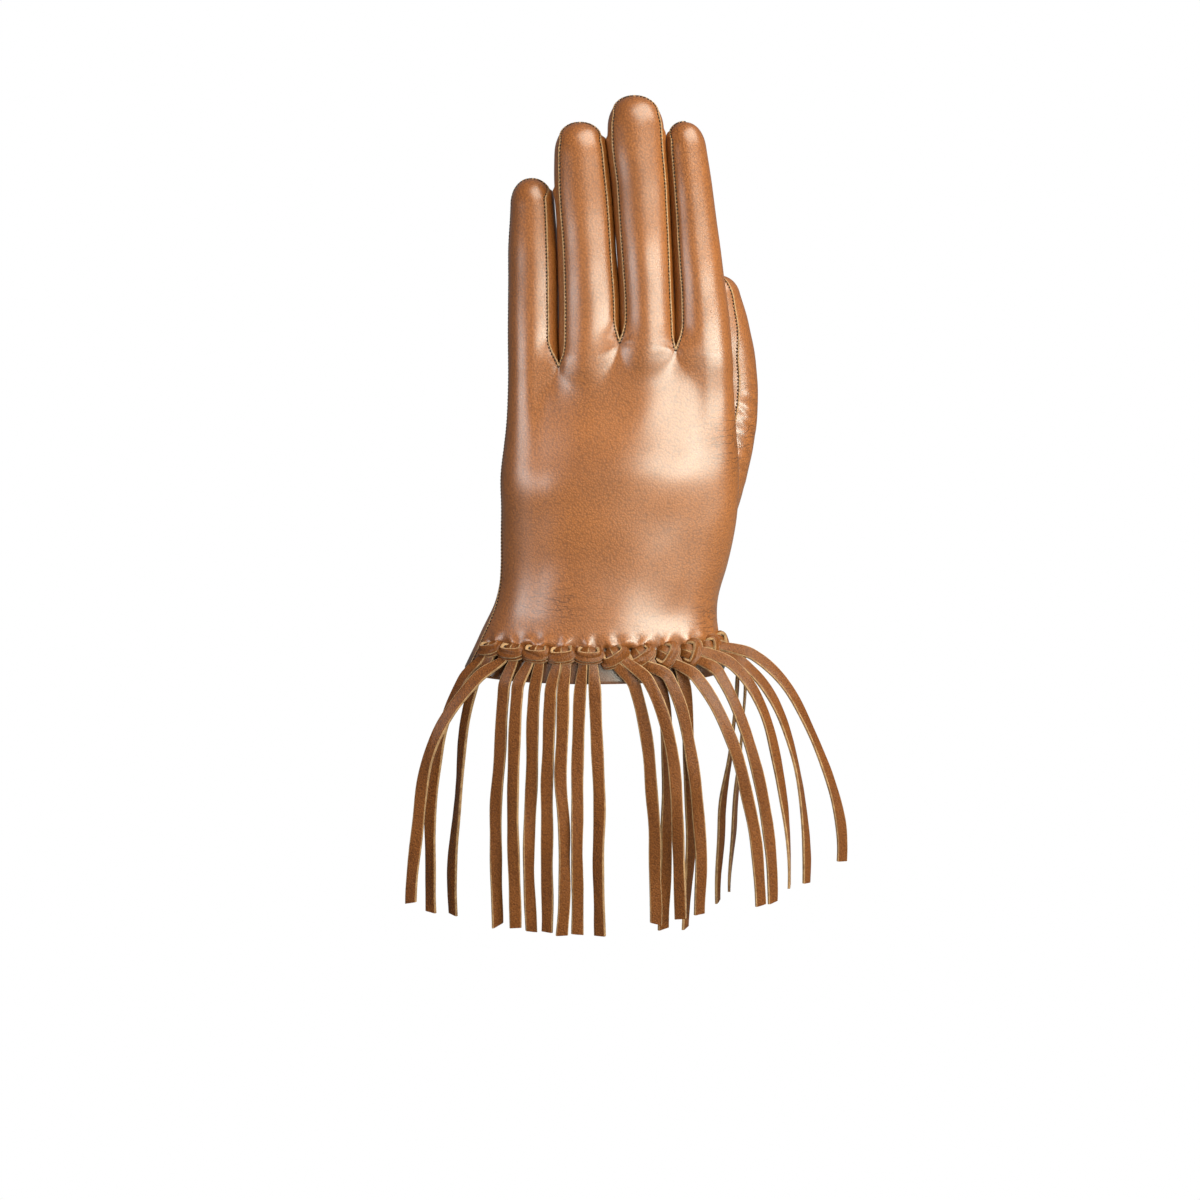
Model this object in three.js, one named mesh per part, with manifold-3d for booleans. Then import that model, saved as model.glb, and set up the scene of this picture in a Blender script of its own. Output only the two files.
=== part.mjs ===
// Sheepskin dress glove for a left hand, with knotted leather laces along the back of the cuff.
// The hem of the cuff lies in the plane z = 0 and the fingers point up. The back of the hand faces -Y,
// the palm faces +Y, and the thumb and the index finger are on the +X side. All sizes are millimetres.

import * as THREE from 'three';
import { mergeVertices } from 'three/addons/utils/BufferGeometryUtils.js';
import Module from 'manifold-3d';

const wasm = await Module();
wasm.setup();

// Walls and seams.
const LEATHER = 1.2;
const SEAM_SHIFT = 0.2;
const CROTCH_SHIFT = 0.75;
const SECTION_POWER = 2.3;
const TIP_POWER = 2.2;
const EDGE_Y = 1;
const SAME_POINT = 0.002;

// Faces across one finger's panel, across one side of a gusset, and from the hem to the crotches.
const PANEL_COLUMNS = 6;
const GUSSET_COLUMNS = 4;
const HAND_ROWS = 10;

// Rows of faces up a finger, as shares of its straight length and then of its round tip.
const STRAIGHT_ROWS = [0.03, 0.09, 0.17, 0.33, 0.5, 0.67, 0.84, 1];
const DOME_ROWS = [0.46, 0.82, 1];
const GUSSET_ROWS = HAND_ROWS + STRAIGHT_ROWS.length + 2;
const TIP_ROW = HAND_ROWS + STRAIGHT_ROWS.length + DOME_ROWS.length;

// Neighbouring fingers part over this height above their crotch. The seam angles say how far round the
// finger its gusset reaches: at the crotch, along the finger, and at the gusset's pointed end.
const PARTING_HEIGHT = 10;
const CROTCH_ANGLE = 50;
const PALM_SEAM_ANGLE = 39;
const POINT_ANGLE = 7;
const POINT_LENGTH = 11;
const POINT_DROP = 2;
const KNUCKLE_LENGTH = 34;

// Sections of the hand from the hem up: its left and right edges, and the crest of its back and palm.
const HAND = [
  { z: 0, left: -50.8, right: 44.2, back: -27, palm: 23 },
  { z: 12, left: -45.0, right: 41.6, back: -24.4, palm: 21 },
  { z: 24, left: -39.4, right: 41.2, back: -21.2, palm: 19 },
  { z: 38, left: -37.2, right: 44.6, back: -19, palm: 18 },
  { z: 55, left: -36.8, right: 47.8, back: -18, palm: 17.4 },
  { z: 74, left: -36.9, right: 48.4, back: -17.4, palm: 16.4 },
  { z: 97, left: -35.2, right: 47.3, back: -15.6, palm: 14.8 },
  { z: 118, left: -34.1, right: 45.1, back: -12.4, palm: 13 },
];

// Fingers from left to right. Each has the height of its base, its top, the length of its round tip,
// the depth of its axis, how far the tip curls towards the palm, the angles of its two back seams from
// the finger's sides, and its sections.
const FINGERS = [
  {
    name: 'pinky', base: 109, top: 173.9, dome: 8.6, y: 4, curl: 5, leftSeam: 39, rightSeam: 55,
    sections: [
      { z: 105, left: -33.9, right: -16.3, deep: 8.6 },
      { z: 132, left: -33.9, right: -16.2, deep: 8.4 },
      { z: 149, left: -33.6, right: -16.6, deep: 8.2 },
      { z: 165, left: -33.0, right: -17.4, deep: 7.4 },
      { z: 174, left: -32.6, right: -18.8, deep: 7.0 },
    ],
  },
  {
    name: 'ring', base: 113, top: 193.3, dome: 11, y: 0.6, curl: 5, leftSeam: 38, rightSeam: 37,
    sections: [
      { z: 108, left: -15.7, right: 4.7, deep: 9.6 },
      { z: 129, left: -15.7, right: 5.4, deep: 9.4 },
      { z: 149, left: -16.0, right: 4.1, deep: 9.3 },
      { z: 169, left: -17.4, right: 2.6, deep: 8.9 },
      { z: 184, left: -17.4, right: 0.9, deep: 8.1 },
      { z: 193, left: -17.3, right: 0.4, deep: 7.8 },
    ],
  },
  {
    name: 'middle', base: 116, top: 202.2, dome: 11, y: -1, curl: 5.5, leftSeam: 36, rightSeam: 30,
    sections: [
      { z: 112, left: 5.4, right: 24.8, deep: 9.8 },
      { z: 129, left: 6.0, right: 24.4, deep: 9.6 },
      { z: 149, left: 4.6, right: 23.5, deep: 9.5 },
      { z: 172, left: 2.9, right: 22.3, deep: 9.2 },
      { z: 184, left: 1.5, right: 21.3, deep: 8.8 },
      { z: 192, left: 1.2, right: 20.8, deep: 8.4 },
      { z: 202, left: 1.2, right: 19.8, deep: 8.0 },
    ],
  },
  {
    name: 'index', base: 114, top: 193.5, dome: 9.2, y: 0.6, curl: 5, leftSeam: 43, rightSeam: 39,
    sections: [
      { z: 110, left: 25.4, right: 45.6, deep: 9.6 },
      { z: 132, left: 25.0, right: 43.4, deep: 9.3 },
      { z: 149, left: 24.1, right: 41.0, deep: 9.0 },
      { z: 171, left: 22.9, right: 38.1, deep: 8.4 },
      { z: 184, left: 21.9, right: 35.9, deep: 7.4 },
      { z: 193, left: 21.4, right: 35.0, deep: 7.0 },
    ],
  },
];

// Crotches between neighbouring fingers: their heights on the back and on the palm.
const CROTCHES = [
  { name: 'pinky_ring', back: 109.3, palm: 114.3 },
  { name: 'ring_middle', back: 118, palm: 122.5 },
  { name: 'middle_index', back: 115.2, palm: 120 },
];

// Sections of the thumb from its root inside the hand to the start of its round tip.
const THUMB = [
  { x: 14, y: 2, z: 26, wide: 15, deep: 12 },
  { x: 22, y: 7, z: 42, wide: 18.4, deep: 14.2 },
  { x: 31, y: 12, z: 59, wide: 18, deep: 14.6 },
  { x: 38.4, y: 16.4, z: 74, wide: 15.2, deep: 13.4 },
  { x: 43.6, y: 20, z: 90, wide: 12.6, deep: 11.8 },
  { x: 44.9, y: 22.8, z: 106, wide: 11, deep: 10.6 },
  { x: 43.4, y: 24.2, z: 120, wide: 9.8, deep: 9.8 },
  { x: 41.0, y: 25.1, z: 131, wide: 8.9, deep: 9 },
];
const THUMB_DOME = 9;
const THUMB_SIDES = 14;
const THUMB_ROWS = 10;
const THUMB_DOME_ROWS = [0.45, 0.78];
const THUMB_CLEARANCE = 0.3;
const THUMB_CUT_TOP = 100;

// How far a cutting shape runs on past the open end that it cuts.
const CUT_MARGIN = 1;

// The lining's band at the cuff. It bows inwards behind the laces.
const LINING = 1;
const LINING_GAP = 0.45;
const LINING_ROWS = [1.5, 6, 12.4, 17, 22, 28];
const LACE_ROOM = 2.1;
const LACE_ROOM_HEIGHT = 2.7;
const LACE_ROOM_SLOPE = 4.5;

// Laces: the strip, its knots along the back of the cuff, counted from the little-finger side, and the
// loop that each strip makes through two punched slots.
const LACE_COUNT = 11;
const LACE_HEIGHT = 9.2;
const LACE_START = 17.3;
const LACE_STEP = 9.2;
const STRIP_WIDTH = 4.4;
const STRIP_THICKNESS = 1.1;
const SLOT_SPACING = 6;
const SLOT_CLEARANCE = 0.3;
const SLOT_DEPTH = 7.2;
const LOOP_HEIGHT = 3.4;
const LOOP_OUTSIDE = 2.2;
const LOOP_INSIDE = 0.35;

// Hanging ends of the laces. Each leaves its knot by kickX sideways, kickY forwards and kickZ upwards,
// and hangs plumb over its last drop down to endX and endY. face turns the tip's flat side from the
// front, in degrees.
const STRAND_LENGTH = 104;
const STRAND_STEPS = 10;
const STRAND_OFFSET = 1.5;
const FITTING_STEPS = 24;
const STRANDS = [
  { lace: 1, kickX: -22, kickY: -3, kickZ: -22, endX: -63, endY: -20, drop: 38, face: -20 },
  { lace: 1, kickX: -12, kickY: -1, kickZ: -14, endX: -55, endY: -15, drop: 41, face: -50 },
  { lace: 2, kickX: -25, kickY: -6, kickZ: -18, endX: -69, endY: -26, drop: 50, face: -15 },
  { lace: 2, kickX: -5, kickY: -5, kickZ: 2, endX: -39, endY: -24, drop: 42, face: 20 },
  { lace: 3, kickX: -9, kickY: -4, kickZ: 3, endX: -32, endY: -28, drop: 23, face: -10 },
  { lace: 3, kickX: -4, kickY: -3, kickZ: -16, endX: -26.5, endY: -27, drop: 35, face: 25 },
  { lace: 4, kickX: -4, kickY: -4, kickZ: 2, endX: -20.5, endY: -29, drop: 30, face: -15 },
  { lace: 4, kickX: -2, kickY: -4, kickZ: -4, endX: -14.5, endY: -31, drop: 40, face: 20 },
  { lace: 5, kickX: -3, kickY: -4, kickZ: -14, endX: -9.5, endY: -30, drop: 41, face: 15 },
  { lace: 5, kickX: 1, kickY: -4, kickZ: -7, endX: -1.5, endY: -31, drop: 44, face: -20 },
  { lace: 6, kickX: 14, kickY: -4, kickZ: -3, endX: 18.5, endY: -30, drop: 44, face: 10 },
  { lace: 6, kickX: 20, kickY: -9, kickZ: -5, endX: 27, endY: -33.5, drop: 44, face: -10 },
  { lace: 7, kickX: 22, kickY: -4, kickZ: -1, endX: 34.5, endY: -30, drop: 30, face: 15 },
  { lace: 7, kickX: 12, kickY: -2, kickZ: -12, endX: 21.5, endY: -27, drop: 44, face: 35 },
  { lace: 8, kickX: 23, kickY: -7, kickZ: -5, endX: 56, endY: -30, drop: 32, face: 20 },
  { lace: 8, kickX: 10, kickY: -2, kickZ: -7, endX: 30, endY: -25, drop: 34, face: 50 },
  { lace: 9, kickX: 12, kickY: -5, kickZ: 5, endX: 61, endY: -24, drop: 48, face: 30 },
  { lace: 9, kickX: 24, kickY: -4, kickZ: 2, endX: 67, endY: -18, drop: 46, face: 70 },
  { lace: 10, kickX: 24, kickY: -4, kickZ: -3, endX: 74, endY: -14, drop: 50, face: 60 },
  { lace: 10, kickX: 24, kickY: -3, kickZ: 6, endX: 87, endY: -11, drop: 38, face: 40 },
  { lace: 11, kickX: 13, kickY: 0, kickZ: 4, endX: 42, endY: -4, drop: 50, face: 60 },
  { lace: 11, kickX: 16, kickY: 2, kickZ: 6, endX: 47, endY: 1, drop: 50, face: 80 },
];

const clamp = THREE.MathUtils.clamp;
const lerp = THREE.MathUtils.lerp;
const radians = THREE.MathUtils.degToRad;
const vector = (x, y, z) => new THREE.Vector3(x, y, z);

function ease(share) {
  const t = clamp(share, 0, 1);
  return t * t * (3 - 2 * t);
}

// Reads one column of a table of sections at height z, with smooth slopes between the rows.
function column(table, name, z) {
  const last = table.length - 1;
  const height = clamp(z, table[0].z, table[last].z);
  let k = 0;
  while (k < last - 1 && table[k + 1].z < height) {
    k += 1;
  }
  const slope = (i) => {
    const below = table[Math.max(i - 1, 0)];
    const above = table[Math.min(i + 1, last)];
    return (above[name] - below[name]) / (above.z - below.z);
  };
  const span = table[k + 1].z - table[k].z;
  const t = (height - table[k].z) / span;
  const bend = t * (1 - t) * span;
  const straight = lerp(table[k][name], table[k + 1][name], ease(t));
  return straight + bend * ((1 - t) * slope(k) - t * slope(k + 1));
}

// One finger's oval section at height z.
function fingerSection(finger, z) {
  const left = column(finger.sections, 'left', z);
  const right = column(finger.sections, 'right', z);
  const rise = clamp((z - finger.top + finger.dome) / finger.dome, 0, 1);
  const round = Math.pow(1 - Math.pow(rise, TIP_POWER), 1 / TIP_POWER);
  const reach = clamp((z - finger.base) / (finger.top - finger.base), 0, 1);
  return {
    x: (left + right) / 2,
    y: finger.y + finger.curl * reach * reach,
    wide: round * (right - left) / 2,
    deep: round * column(finger.sections, 'deep', z),
  };
}

// The crotch on one side of a finger, or undefined on the outer side of the hand.
function crotchBeside(index, side) {
  return CROTCHES[side > 0 ? index : index - 1];
}

function slitX(gap, z) {
  const right = column(FINGERS[gap].sections, 'right', z);
  const left = column(FINGERS[gap + 1].sections, 'left', z);
  return (left + right) / 2;
}

// Angle from the finger's side to its gusset's seam, in radians.
function seamAngle(index, side, face, z, open) {
  const finger = FINGERS[index];
  const backSeam = side < 0 ? finger.leftSeam : finger.rightSeam;
  const along = face < 0 ? backSeam : PALM_SEAM_ANGLE;
  const start = finger.top - POINT_DROP - POINT_LENGTH;
  const narrow = ease((z - start) / POINT_LENGTH);
  return radians(lerp(lerp(CROTCH_ANGLE, along, open), POINT_ANGLE, narrow));
}

// Depth of the shared seam line between two fingers that still touch.
function sharedY(gap, z, face) {
  const own = [[gap, 1], [gap + 1, -1]].map(([index, side]) => {
    const section = fingerSection(FINGERS[index], z);
    return section.y + face * section.deep * Math.sin(seamAngle(index, side, face, z, 0));
  });
  return (own[0] + own[1]) / 2;
}

// A point of a finger's back (face -1) or palm (face +1) panel. s runs from -1 at the panel's left edge
// to +1 at its right edge, and open is 0 where the fingers touch and 1 where they stand clear.
function panelOnFinger(index, face, s, z, open) {
  const section = fingerSection(FINGERS[index], z);
  const side = s < 0 ? -1 : 1;
  const share = Math.abs(s);
  if (!crotchBeside(index, side)) {
    const turn = radians(90 * (1 - share));
    const x = section.x + side * section.wide * Math.cos(turn);
    return vector(x, section.y + face * section.deep * Math.sin(turn), z);
  }
  const gap = side > 0 ? index : index - 1;
  const seam = seamAngle(index, side, face, z, open);
  const turn = lerp(Math.PI / 2, seam, share);
  const edge = lerp(slitX(gap, z), section.x + side * section.wide * Math.cos(seam), open);
  const x = section.x + (edge - section.x) * Math.cos(turn) / Math.cos(seam);
  const own = section.y + face * section.deep * Math.sin(seam);
  const pull = (sharedY(gap, z, face) - own) * share * share * (1 - open);
  return vector(x, section.y + face * section.deep * Math.sin(turn) + pull, z);
}

// A point of the gusset on one side of a finger. across runs from 0 at the back to 1 at the palm.
function gussetPoint(index, side, across, z, open) {
  const section = fingerSection(FINGERS[index], z);
  const gap = side > 0 ? index : index - 1;
  const turn = lerp(seamAngle(index, side, -1, z, open), -seamAngle(index, side, 1, z, open), across);
  const shared = lerp(sharedY(gap, z, -1), sharedY(gap, z, 1), across);
  const x = lerp(slitX(gap, z), section.x + side * section.wide * Math.cos(turn), open);
  return vector(x, lerp(shared, section.y - section.deep * Math.sin(turn), open), z);
}

// A point of the hand's section. c runs from -1 at the left edge to +1 at the right edge, and inset
// moves it inwards at right angles to the section.
function handPoint(c, face, z, inset = 0) {
  const left = column(HAND, 'left', z);
  const right = column(HAND, 'right', z);
  const crest = column(HAND, face < 0 ? 'back' : 'palm', z);
  const wide = (right - left) / 2;
  const deep = Math.abs(crest - EDGE_Y);
  const height = Math.pow(Math.max(1 - Math.pow(Math.abs(c), SECTION_POWER), 0), 1 / SECTION_POWER);
  const outX = Math.sign(c) * Math.pow(Math.abs(c), SECTION_POWER - 1) / wide;
  const outY = face * Math.pow(height, SECTION_POWER - 1) / deep;
  const length = Math.hypot(outX, outY);
  const x = (left + right) / 2 + c * wide - inset * outX / length;
  return vector(x, EDGE_Y + face * deep * height - inset * outY / length, z);
}

// Height at which a panel's station passes from the hand to its finger.
function panelBase(index, face, s) {
  const finger = FINGERS[index];
  const crotch = crotchBeside(index, s < 0 ? -1 : 1);
  if (!crotch) {
    return finger.base;
  }
  const edge = face < 0 ? crotch.back : crotch.palm;
  return lerp(finger.base, edge, s * s);
}

// Share of the hand's width at which a panel's station comes down to the hem.
function panelShare(index, face, s) {
  const leftmost = panelOnFinger(0, face, -1, FINGERS[0].base, 0).x;
  const last = FINGERS.length - 1;
  const rightmost = panelOnFinger(last, face, 1, FINGERS[last].base, 0).x;
  const x = panelOnFinger(index, face, s, panelBase(index, face, s), 0).x;
  return clamp(2 * (x - leftmost) / (rightmost - leftmost) - 1, -1, 1);
}

function rowHeight(row, base, finger) {
  if (row <= HAND_ROWS) {
    return base * row / HAND_ROWS;
  }
  const step = row - HAND_ROWS - 1;
  const shoulder = finger.top - finger.dome;
  if (step < STRAIGHT_ROWS.length) {
    return lerp(base, shoulder, STRAIGHT_ROWS[step]);
  }
  return lerp(shoulder, finger.top, DOME_ROWS[step - STRAIGHT_ROWS.length]);
}

function opening(height) {
  return Math.sin(Math.PI / 2 * clamp(height / PARTING_HEIGHT, 0, 1));
}

function panelPoint(index, face, s, row) {
  const base = panelBase(index, face, s);
  const z = rowHeight(row, base, FINGERS[index]);
  if (row >= HAND_ROWS) {
    return panelOnFinger(index, face, s, z, opening(z - base));
  }
  const onHand = handPoint(panelShare(index, face, s), face, z);
  const onFinger = panelOnFinger(index, face, s, z, 0);
  return onHand.lerp(onFinger, ease((z - base + KNUCKLE_LENGTH) / KNUCKLE_LENGTH));
}

function gussetStation(index, side, across, row) {
  const crotch = crotchBeside(index, side);
  const base = lerp(crotch.back, crotch.palm, across);
  const z = rowHeight(row, base, FINGERS[index]);
  return gussetPoint(index, side, across, z, opening(z - base));
}

// The glove's outer surface as a net of cells. Points that fall together are one corner.
const corners = [];
const cornerAt = new Map();
const cells = [];

function corner(point) {
  const key = point.toArray().map((value) => Math.round(value / SAME_POINT)).join(' ');
  if (!cornerAt.has(key)) {
    cornerAt.set(key, corners.length);
    corners.push({ at: point, out: vector(0, 0, 0), pieces: new Set(), fingers: new Set() });
  }
  return cornerAt.get(key);
}

function addCell(piece, finger, points, flip) {
  const loop = points.map(corner);
  if (flip) {
    loop.reverse();
  }
  const ring = loop.filter((item, k) => item !== loop[(k + 1) % loop.length]);
  const triangles = [];
  for (let k = 1; k + 1 < ring.length; k += 1) {
    triangles.push([ring[0], ring[k], ring[k + 1]]);
  }
  ring.forEach((item) => {
    corners[item].pieces.add(piece);
    corners[item].fingers.add(finger);
  });
  cells.push({ piece, ring, triangles });
}

// Lays one strip of the net. pointOf(k, row) gives its stations, numbered from 0 to columns.
function addStrip(pieceOf, finger, columns, firstRow, flip, pointOf) {
  for (let row = firstRow; row < TIP_ROW; row += 1) {
    for (let k = 0; k < columns; k += 1) {
      const quad = [pointOf(k, row), pointOf(k + 1, row), pointOf(k + 1, row + 1), pointOf(k, row + 1)];
      addCell(pieceOf(row), finger, quad, flip);
    }
  }
}

for (const index of FINGERS.keys()) {
  [-1, 1].forEach((face) => {
    const station = (k, row) => panelPoint(index, face, 2 * k / PANEL_COLUMNS - 1, row);
    addStrip(() => 'trank', index, PANEL_COLUMNS, 0, face > 0, station);
  });
  [-1, 1].forEach((side) => {
    const crotch = crotchBeside(index, side);
    if (crotch) {
      const pieceOf = (row) => (row < GUSSET_ROWS ? `fourchette_${crotch.name}` : 'trank');
      const station = (k, row) => gussetStation(index, side, k / GUSSET_COLUMNS, row);
      addStrip(pieceOf, index, GUSSET_COLUMNS, HAND_ROWS, side < 0, station);
    }
  });
}

// Outward directions at the corners, level along the hem.
cells.forEach((cell) => {
  cell.triangles.forEach(([a, b, c]) => {
    const first = corners[b].at.clone().sub(corners[a].at);
    const second = corners[c].at.clone().sub(corners[a].at);
    const normal = first.cross(second);
    [a, b, c].forEach((item) => corners[item].out.add(normal));
  });
});
corners.forEach((item) => {
  if (item.at.z === 0) {
    item.out.z = 0;
  }
  item.out.normalize();
});

function solidFrom(positions, triangles) {
  const mesh = new wasm.Mesh({
    numProp: 3,
    vertProperties: new Float32Array(positions.flatMap((point) => point.toArray())),
    triVerts: new Uint32Array(triangles.flat()),
  });
  return new wasm.Manifold(mesh);
}

// The wall over one piece's cells. Its sewn edges draw back a little from the piece beside it.
function wallOf(piece) {
  const own = cells.filter((cell) => cell.piece === piece);
  const inward = new Map();
  own.forEach((cell) => {
    const centre = vector(0, 0, 0);
    cell.ring.forEach((item) => centre.addScaledVector(corners[item].at, 1 / cell.ring.length));
    cell.ring.forEach((item) => {
      const sum = inward.get(item) ?? vector(0, 0, 0);
      inward.set(item, sum.add(centre.clone().sub(corners[item].at)));
    });
  });
  const outer = [];
  const inner = [];
  const numberOf = new Map();
  inward.forEach((sum, item) => {
    const { at, out, pieces, fingers } = corners[item];
    const shift = sum.addScaledVector(out, -sum.dot(out)).normalize();
    const sewn = fingers.size > 1 ? CROTCH_SHIFT : SEAM_SHIFT;
    const seat = at.clone().addScaledVector(shift, pieces.size > 1 ? sewn : 0);
    numberOf.set(item, outer.length);
    outer.push(seat);
    inner.push(seat.clone().addScaledVector(out, -LEATHER));
  });
  const count = outer.length;
  const triangles = [];
  const edges = new Set();
  own.forEach((cell) => {
    cell.triangles.forEach((items) => {
      const [a, b, c] = items.map((item) => numberOf.get(item));
      triangles.push([a, b, c], [count + c, count + b, count + a]);
      edges.add(`${a} ${b}`).add(`${b} ${c}`).add(`${c} ${a}`);
    });
  });
  edges.forEach((edge) => {
    const [a, b] = edge.split(' ').map(Number);
    if (!edges.has(`${b} ${a}`)) {
      triangles.push([b, a, count + a], [b, count + a, count + b]);
    }
  });
  return solidFrom([...outer, ...inner], triangles);
}

// A closed solid through rings of equally many points. A ring may also be a single point. The rings
// are capped at both ends, or run round to the first one where closed is true.
function skin(rings, closed = false) {
  const positions = rings.flat();
  const starts = [0];
  rings.forEach((ring) => starts.push(starts[starts.length - 1] + ring.length));
  const triangles = [];
  const add = (a, b, c) => {
    if (a !== b && b !== c && c !== a) {
      triangles.push([a, b, c]);
    }
  };
  const last = closed ? rings.length : rings.length - 1;
  for (let r = 0; r < last; r += 1) {
    const low = rings[r];
    const high = rings[(r + 1) % rings.length];
    const lowStart = starts[r];
    const highStart = starts[(r + 1) % rings.length];
    const count = Math.max(low.length, high.length);
    for (let k = 0; k < count; k += 1) {
      const a = lowStart + k % low.length;
      const b = lowStart + (k + 1) % low.length;
      const c = highStart + (k + 1) % high.length;
      const d = highStart + k % high.length;
      add(a, b, c);
      add(a, c, d);
    }
  }
  if (!closed) {
    const bottom = rings[0].length;
    for (let k = 1; k + 1 < bottom; k += 1) {
      add(0, k + 1, k);
    }
    const top = rings[last].length;
    const start = starts[last];
    for (let k = 1; k + 1 < top; k += 1) {
      add(start, start + k, start + k + 1);
    }
  }
  return solidFrom(positions, triangles);
}

// One ring of stations round the whole hand, from the left edge over the back and home by the palm.
const AROUND = [];
[-1, 1].forEach((face) => {
  for (const index of FINGERS.keys()) {
    for (let k = 0; k < PANEL_COLUMNS; k += 1) {
      const station = face < 0 ? k : PANEL_COLUMNS - k;
      const own = face < 0 ? index : FINGERS.length - 1 - index;
      AROUND.push({ index: own, face, s: 2 * station / PANEL_COLUMNS - 1 });
    }
  }
});

// The hand's outer volume up to its knuckles, a little proud of the leather.
function handVolume() {
  const rings = [];
  for (let row = 0; rowHeight(row, FINGERS[0].base) < THUMB_CUT_TOP; row += 1) {
    rings.push(AROUND.map(({ index, face, s }) => {
      const item = corners[corner(panelPoint(index, face, s, row))];
      return item.at.clone().addScaledVector(item.out, THUMB_CLEARANCE);
    }));
  }
  rings[0].forEach((point) => point.setZ(point.z - CUT_MARGIN));
  return skin(rings);
}

// The thumb as a plain solid tube with a round tip, drawn in by inset.
function thumbTube(inset) {
  const axis = new THREE.CatmullRomCurve3(THUMB.map(({ x, y, z }) => vector(x, y, z)));
  const stations = [];
  for (let k = 0; k <= THUMB_ROWS; k += 1) {
    stations.push({ along: k / THUMB_ROWS, round: 1, lift: 0 });
  }
  THUMB_DOME_ROWS.forEach((rise) => {
    const round = Math.pow(1 - Math.pow(rise, TIP_POWER), 1 / TIP_POWER);
    stations.push({ along: 1, round, lift: rise * (THUMB_DOME - inset) });
  });
  const rings = stations.map(({ along, round, lift }) => {
    const centre = axis.getPoint(along);
    const forward = axis.getTangent(along);
    const across = vector(0, 1, 0).cross(forward).normalize();
    const back = across.clone().cross(forward).normalize();
    const wide = round * (column(THUMB, 'wide', centre.z) - inset);
    const deep = round * (column(THUMB, 'deep', centre.z) - inset);
    centre.addScaledVector(forward, lift);
    return Array.from({ length: THUMB_SIDES }, (unused, k) => {
      const turn = 2 * Math.PI * k / THUMB_SIDES;
      const point = centre.clone().addScaledVector(across, wide * Math.cos(turn));
      return point.addScaledVector(back, -deep * Math.sin(turn));
    });
  });
  const end = axis.getPoint(1).addScaledVector(axis.getTangent(1), THUMB_DOME - inset);
  if (inset > 0) {
    const start = axis.getTangent(0);
    rings.unshift(rings[0].map((point) => point.clone().addScaledVector(start, -CUT_MARGIN)));
  }
  return skin([...rings, [end]]);
}

// The lining: a band that follows the cuff's inside.
function liningBand() {
  const ring = (z, depth) => AROUND.map(({ index, face, s }) => {
    const c = panelShare(index, face, s);
    const near = ease(1 - (Math.abs(z - LACE_HEIGHT) - LACE_ROOM_HEIGHT) / LACE_ROOM_SLOPE);
    return handPoint(c, face, z, LEATHER + LINING_GAP + LACE_ROOM * near + depth);
  });
  const outside = LINING_ROWS.map((z) => ring(z, 0));
  const inside = LINING_ROWS.map((z) => ring(z, LINING)).reverse();
  return skin([...outside, ...inside], true);
}

// The row of the laces, as a fine path over the back of the cuff from its left edge to its right one.
const PATH_STEPS = 400;
const LACE_PATH = Array.from({ length: PATH_STEPS + 1 }, (unused, k) => {
  return -Math.cos(Math.PI * k / PATH_STEPS);
});

// The share of the hand's width at a distance along the row of the laces.
function shareAlong(distance) {
  let left = distance;
  let k = 0;
  let stride = 0;
  do {
    left -= stride;
    k += 1;
    const from = handPoint(LACE_PATH[k - 1], -1, LACE_HEIGHT);
    stride = from.distanceTo(handPoint(LACE_PATH[k], -1, LACE_HEIGHT));
  } while (left > stride && k < PATH_STEPS);
  return lerp(LACE_PATH[k - 1], LACE_PATH[k], left / stride);
}

// Place of a knot on the outside of the cuff, with the directions along the hem, up the leather and
// straight out of it. sag is how far the round cuff falls away at the slots beside the knot.
function knotPlace(number) {
  const distance = LACE_START + LACE_STEP * number;
  const c = shareAlong(distance);
  const at = handPoint(c, -1, LACE_HEIGHT);
  const beside = [-1, 1].map((side) => {
    return handPoint(shareAlong(distance + side * SLOT_SPACING / 2), -1, LACE_HEIGHT);
  });
  const along = beside[1].clone().sub(beside[0]).normalize();
  const up = handPoint(c, -1, LACE_HEIGHT + 1).sub(handPoint(c, -1, LACE_HEIGHT - 1)).normalize();
  const out = along.clone().cross(up).normalize();
  up.crossVectors(out, along).normalize();
  const sag = Math.max(...beside.map((point) => at.clone().sub(point).dot(out)), 0);
  return { at, along, up, out, sag };
}

// Closed solid of a three.js geometry, its doubled corners merged.
function solidOf(geometry) {
  geometry.deleteAttribute('normal');
  geometry.deleteAttribute('uv');
  const merged = mergeVertices(geometry, 1e-4);
  const mesh = new wasm.Mesh({
    numProp: 3,
    vertProperties: merged.attributes.position.array,
    triVerts: merged.index.array,
  });
  return new wasm.Manifold(mesh);
}

// Turns a shape drawn along the hem and outwards into place at a knot, centred on its height.
function setAtKnot(geometry, place) {
  geometry.applyMatrix4(new THREE.Matrix4().makeBasis(place.along, place.out, place.up.clone().negate()));
  geometry.translate(...place.at.toArray());
  return solidOf(geometry);
}

// The strip's loop: across the outside, through both slots and back along the inside.
function laceLoop(place) {
  const wide = SLOT_SPACING + STRIP_THICKNESS;
  const inside = LEATHER + LOOP_INSIDE + place.sag;
  const outline = (margin) => {
    const left = -wide / 2 + margin;
    const low = -inside - STRIP_THICKNESS + margin;
    const path = new THREE.Path();
    path.moveTo(left, low);
    path.lineTo(-left, low);
    path.lineTo(-left, LOOP_OUTSIDE - margin);
    path.lineTo(left, LOOP_OUTSIDE - margin);
    path.closePath();
    return path;
  };
  const shape = new THREE.Shape(outline(0).getPoints());
  shape.holes.push(outline(STRIP_THICKNESS));
  const geometry = new THREE.ExtrudeGeometry(shape, { depth: LOOP_HEIGHT, bevelEnabled: false });
  geometry.translate(0, 0, -LOOP_HEIGHT / 2);
  return setAtKnot(geometry, place);
}

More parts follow.
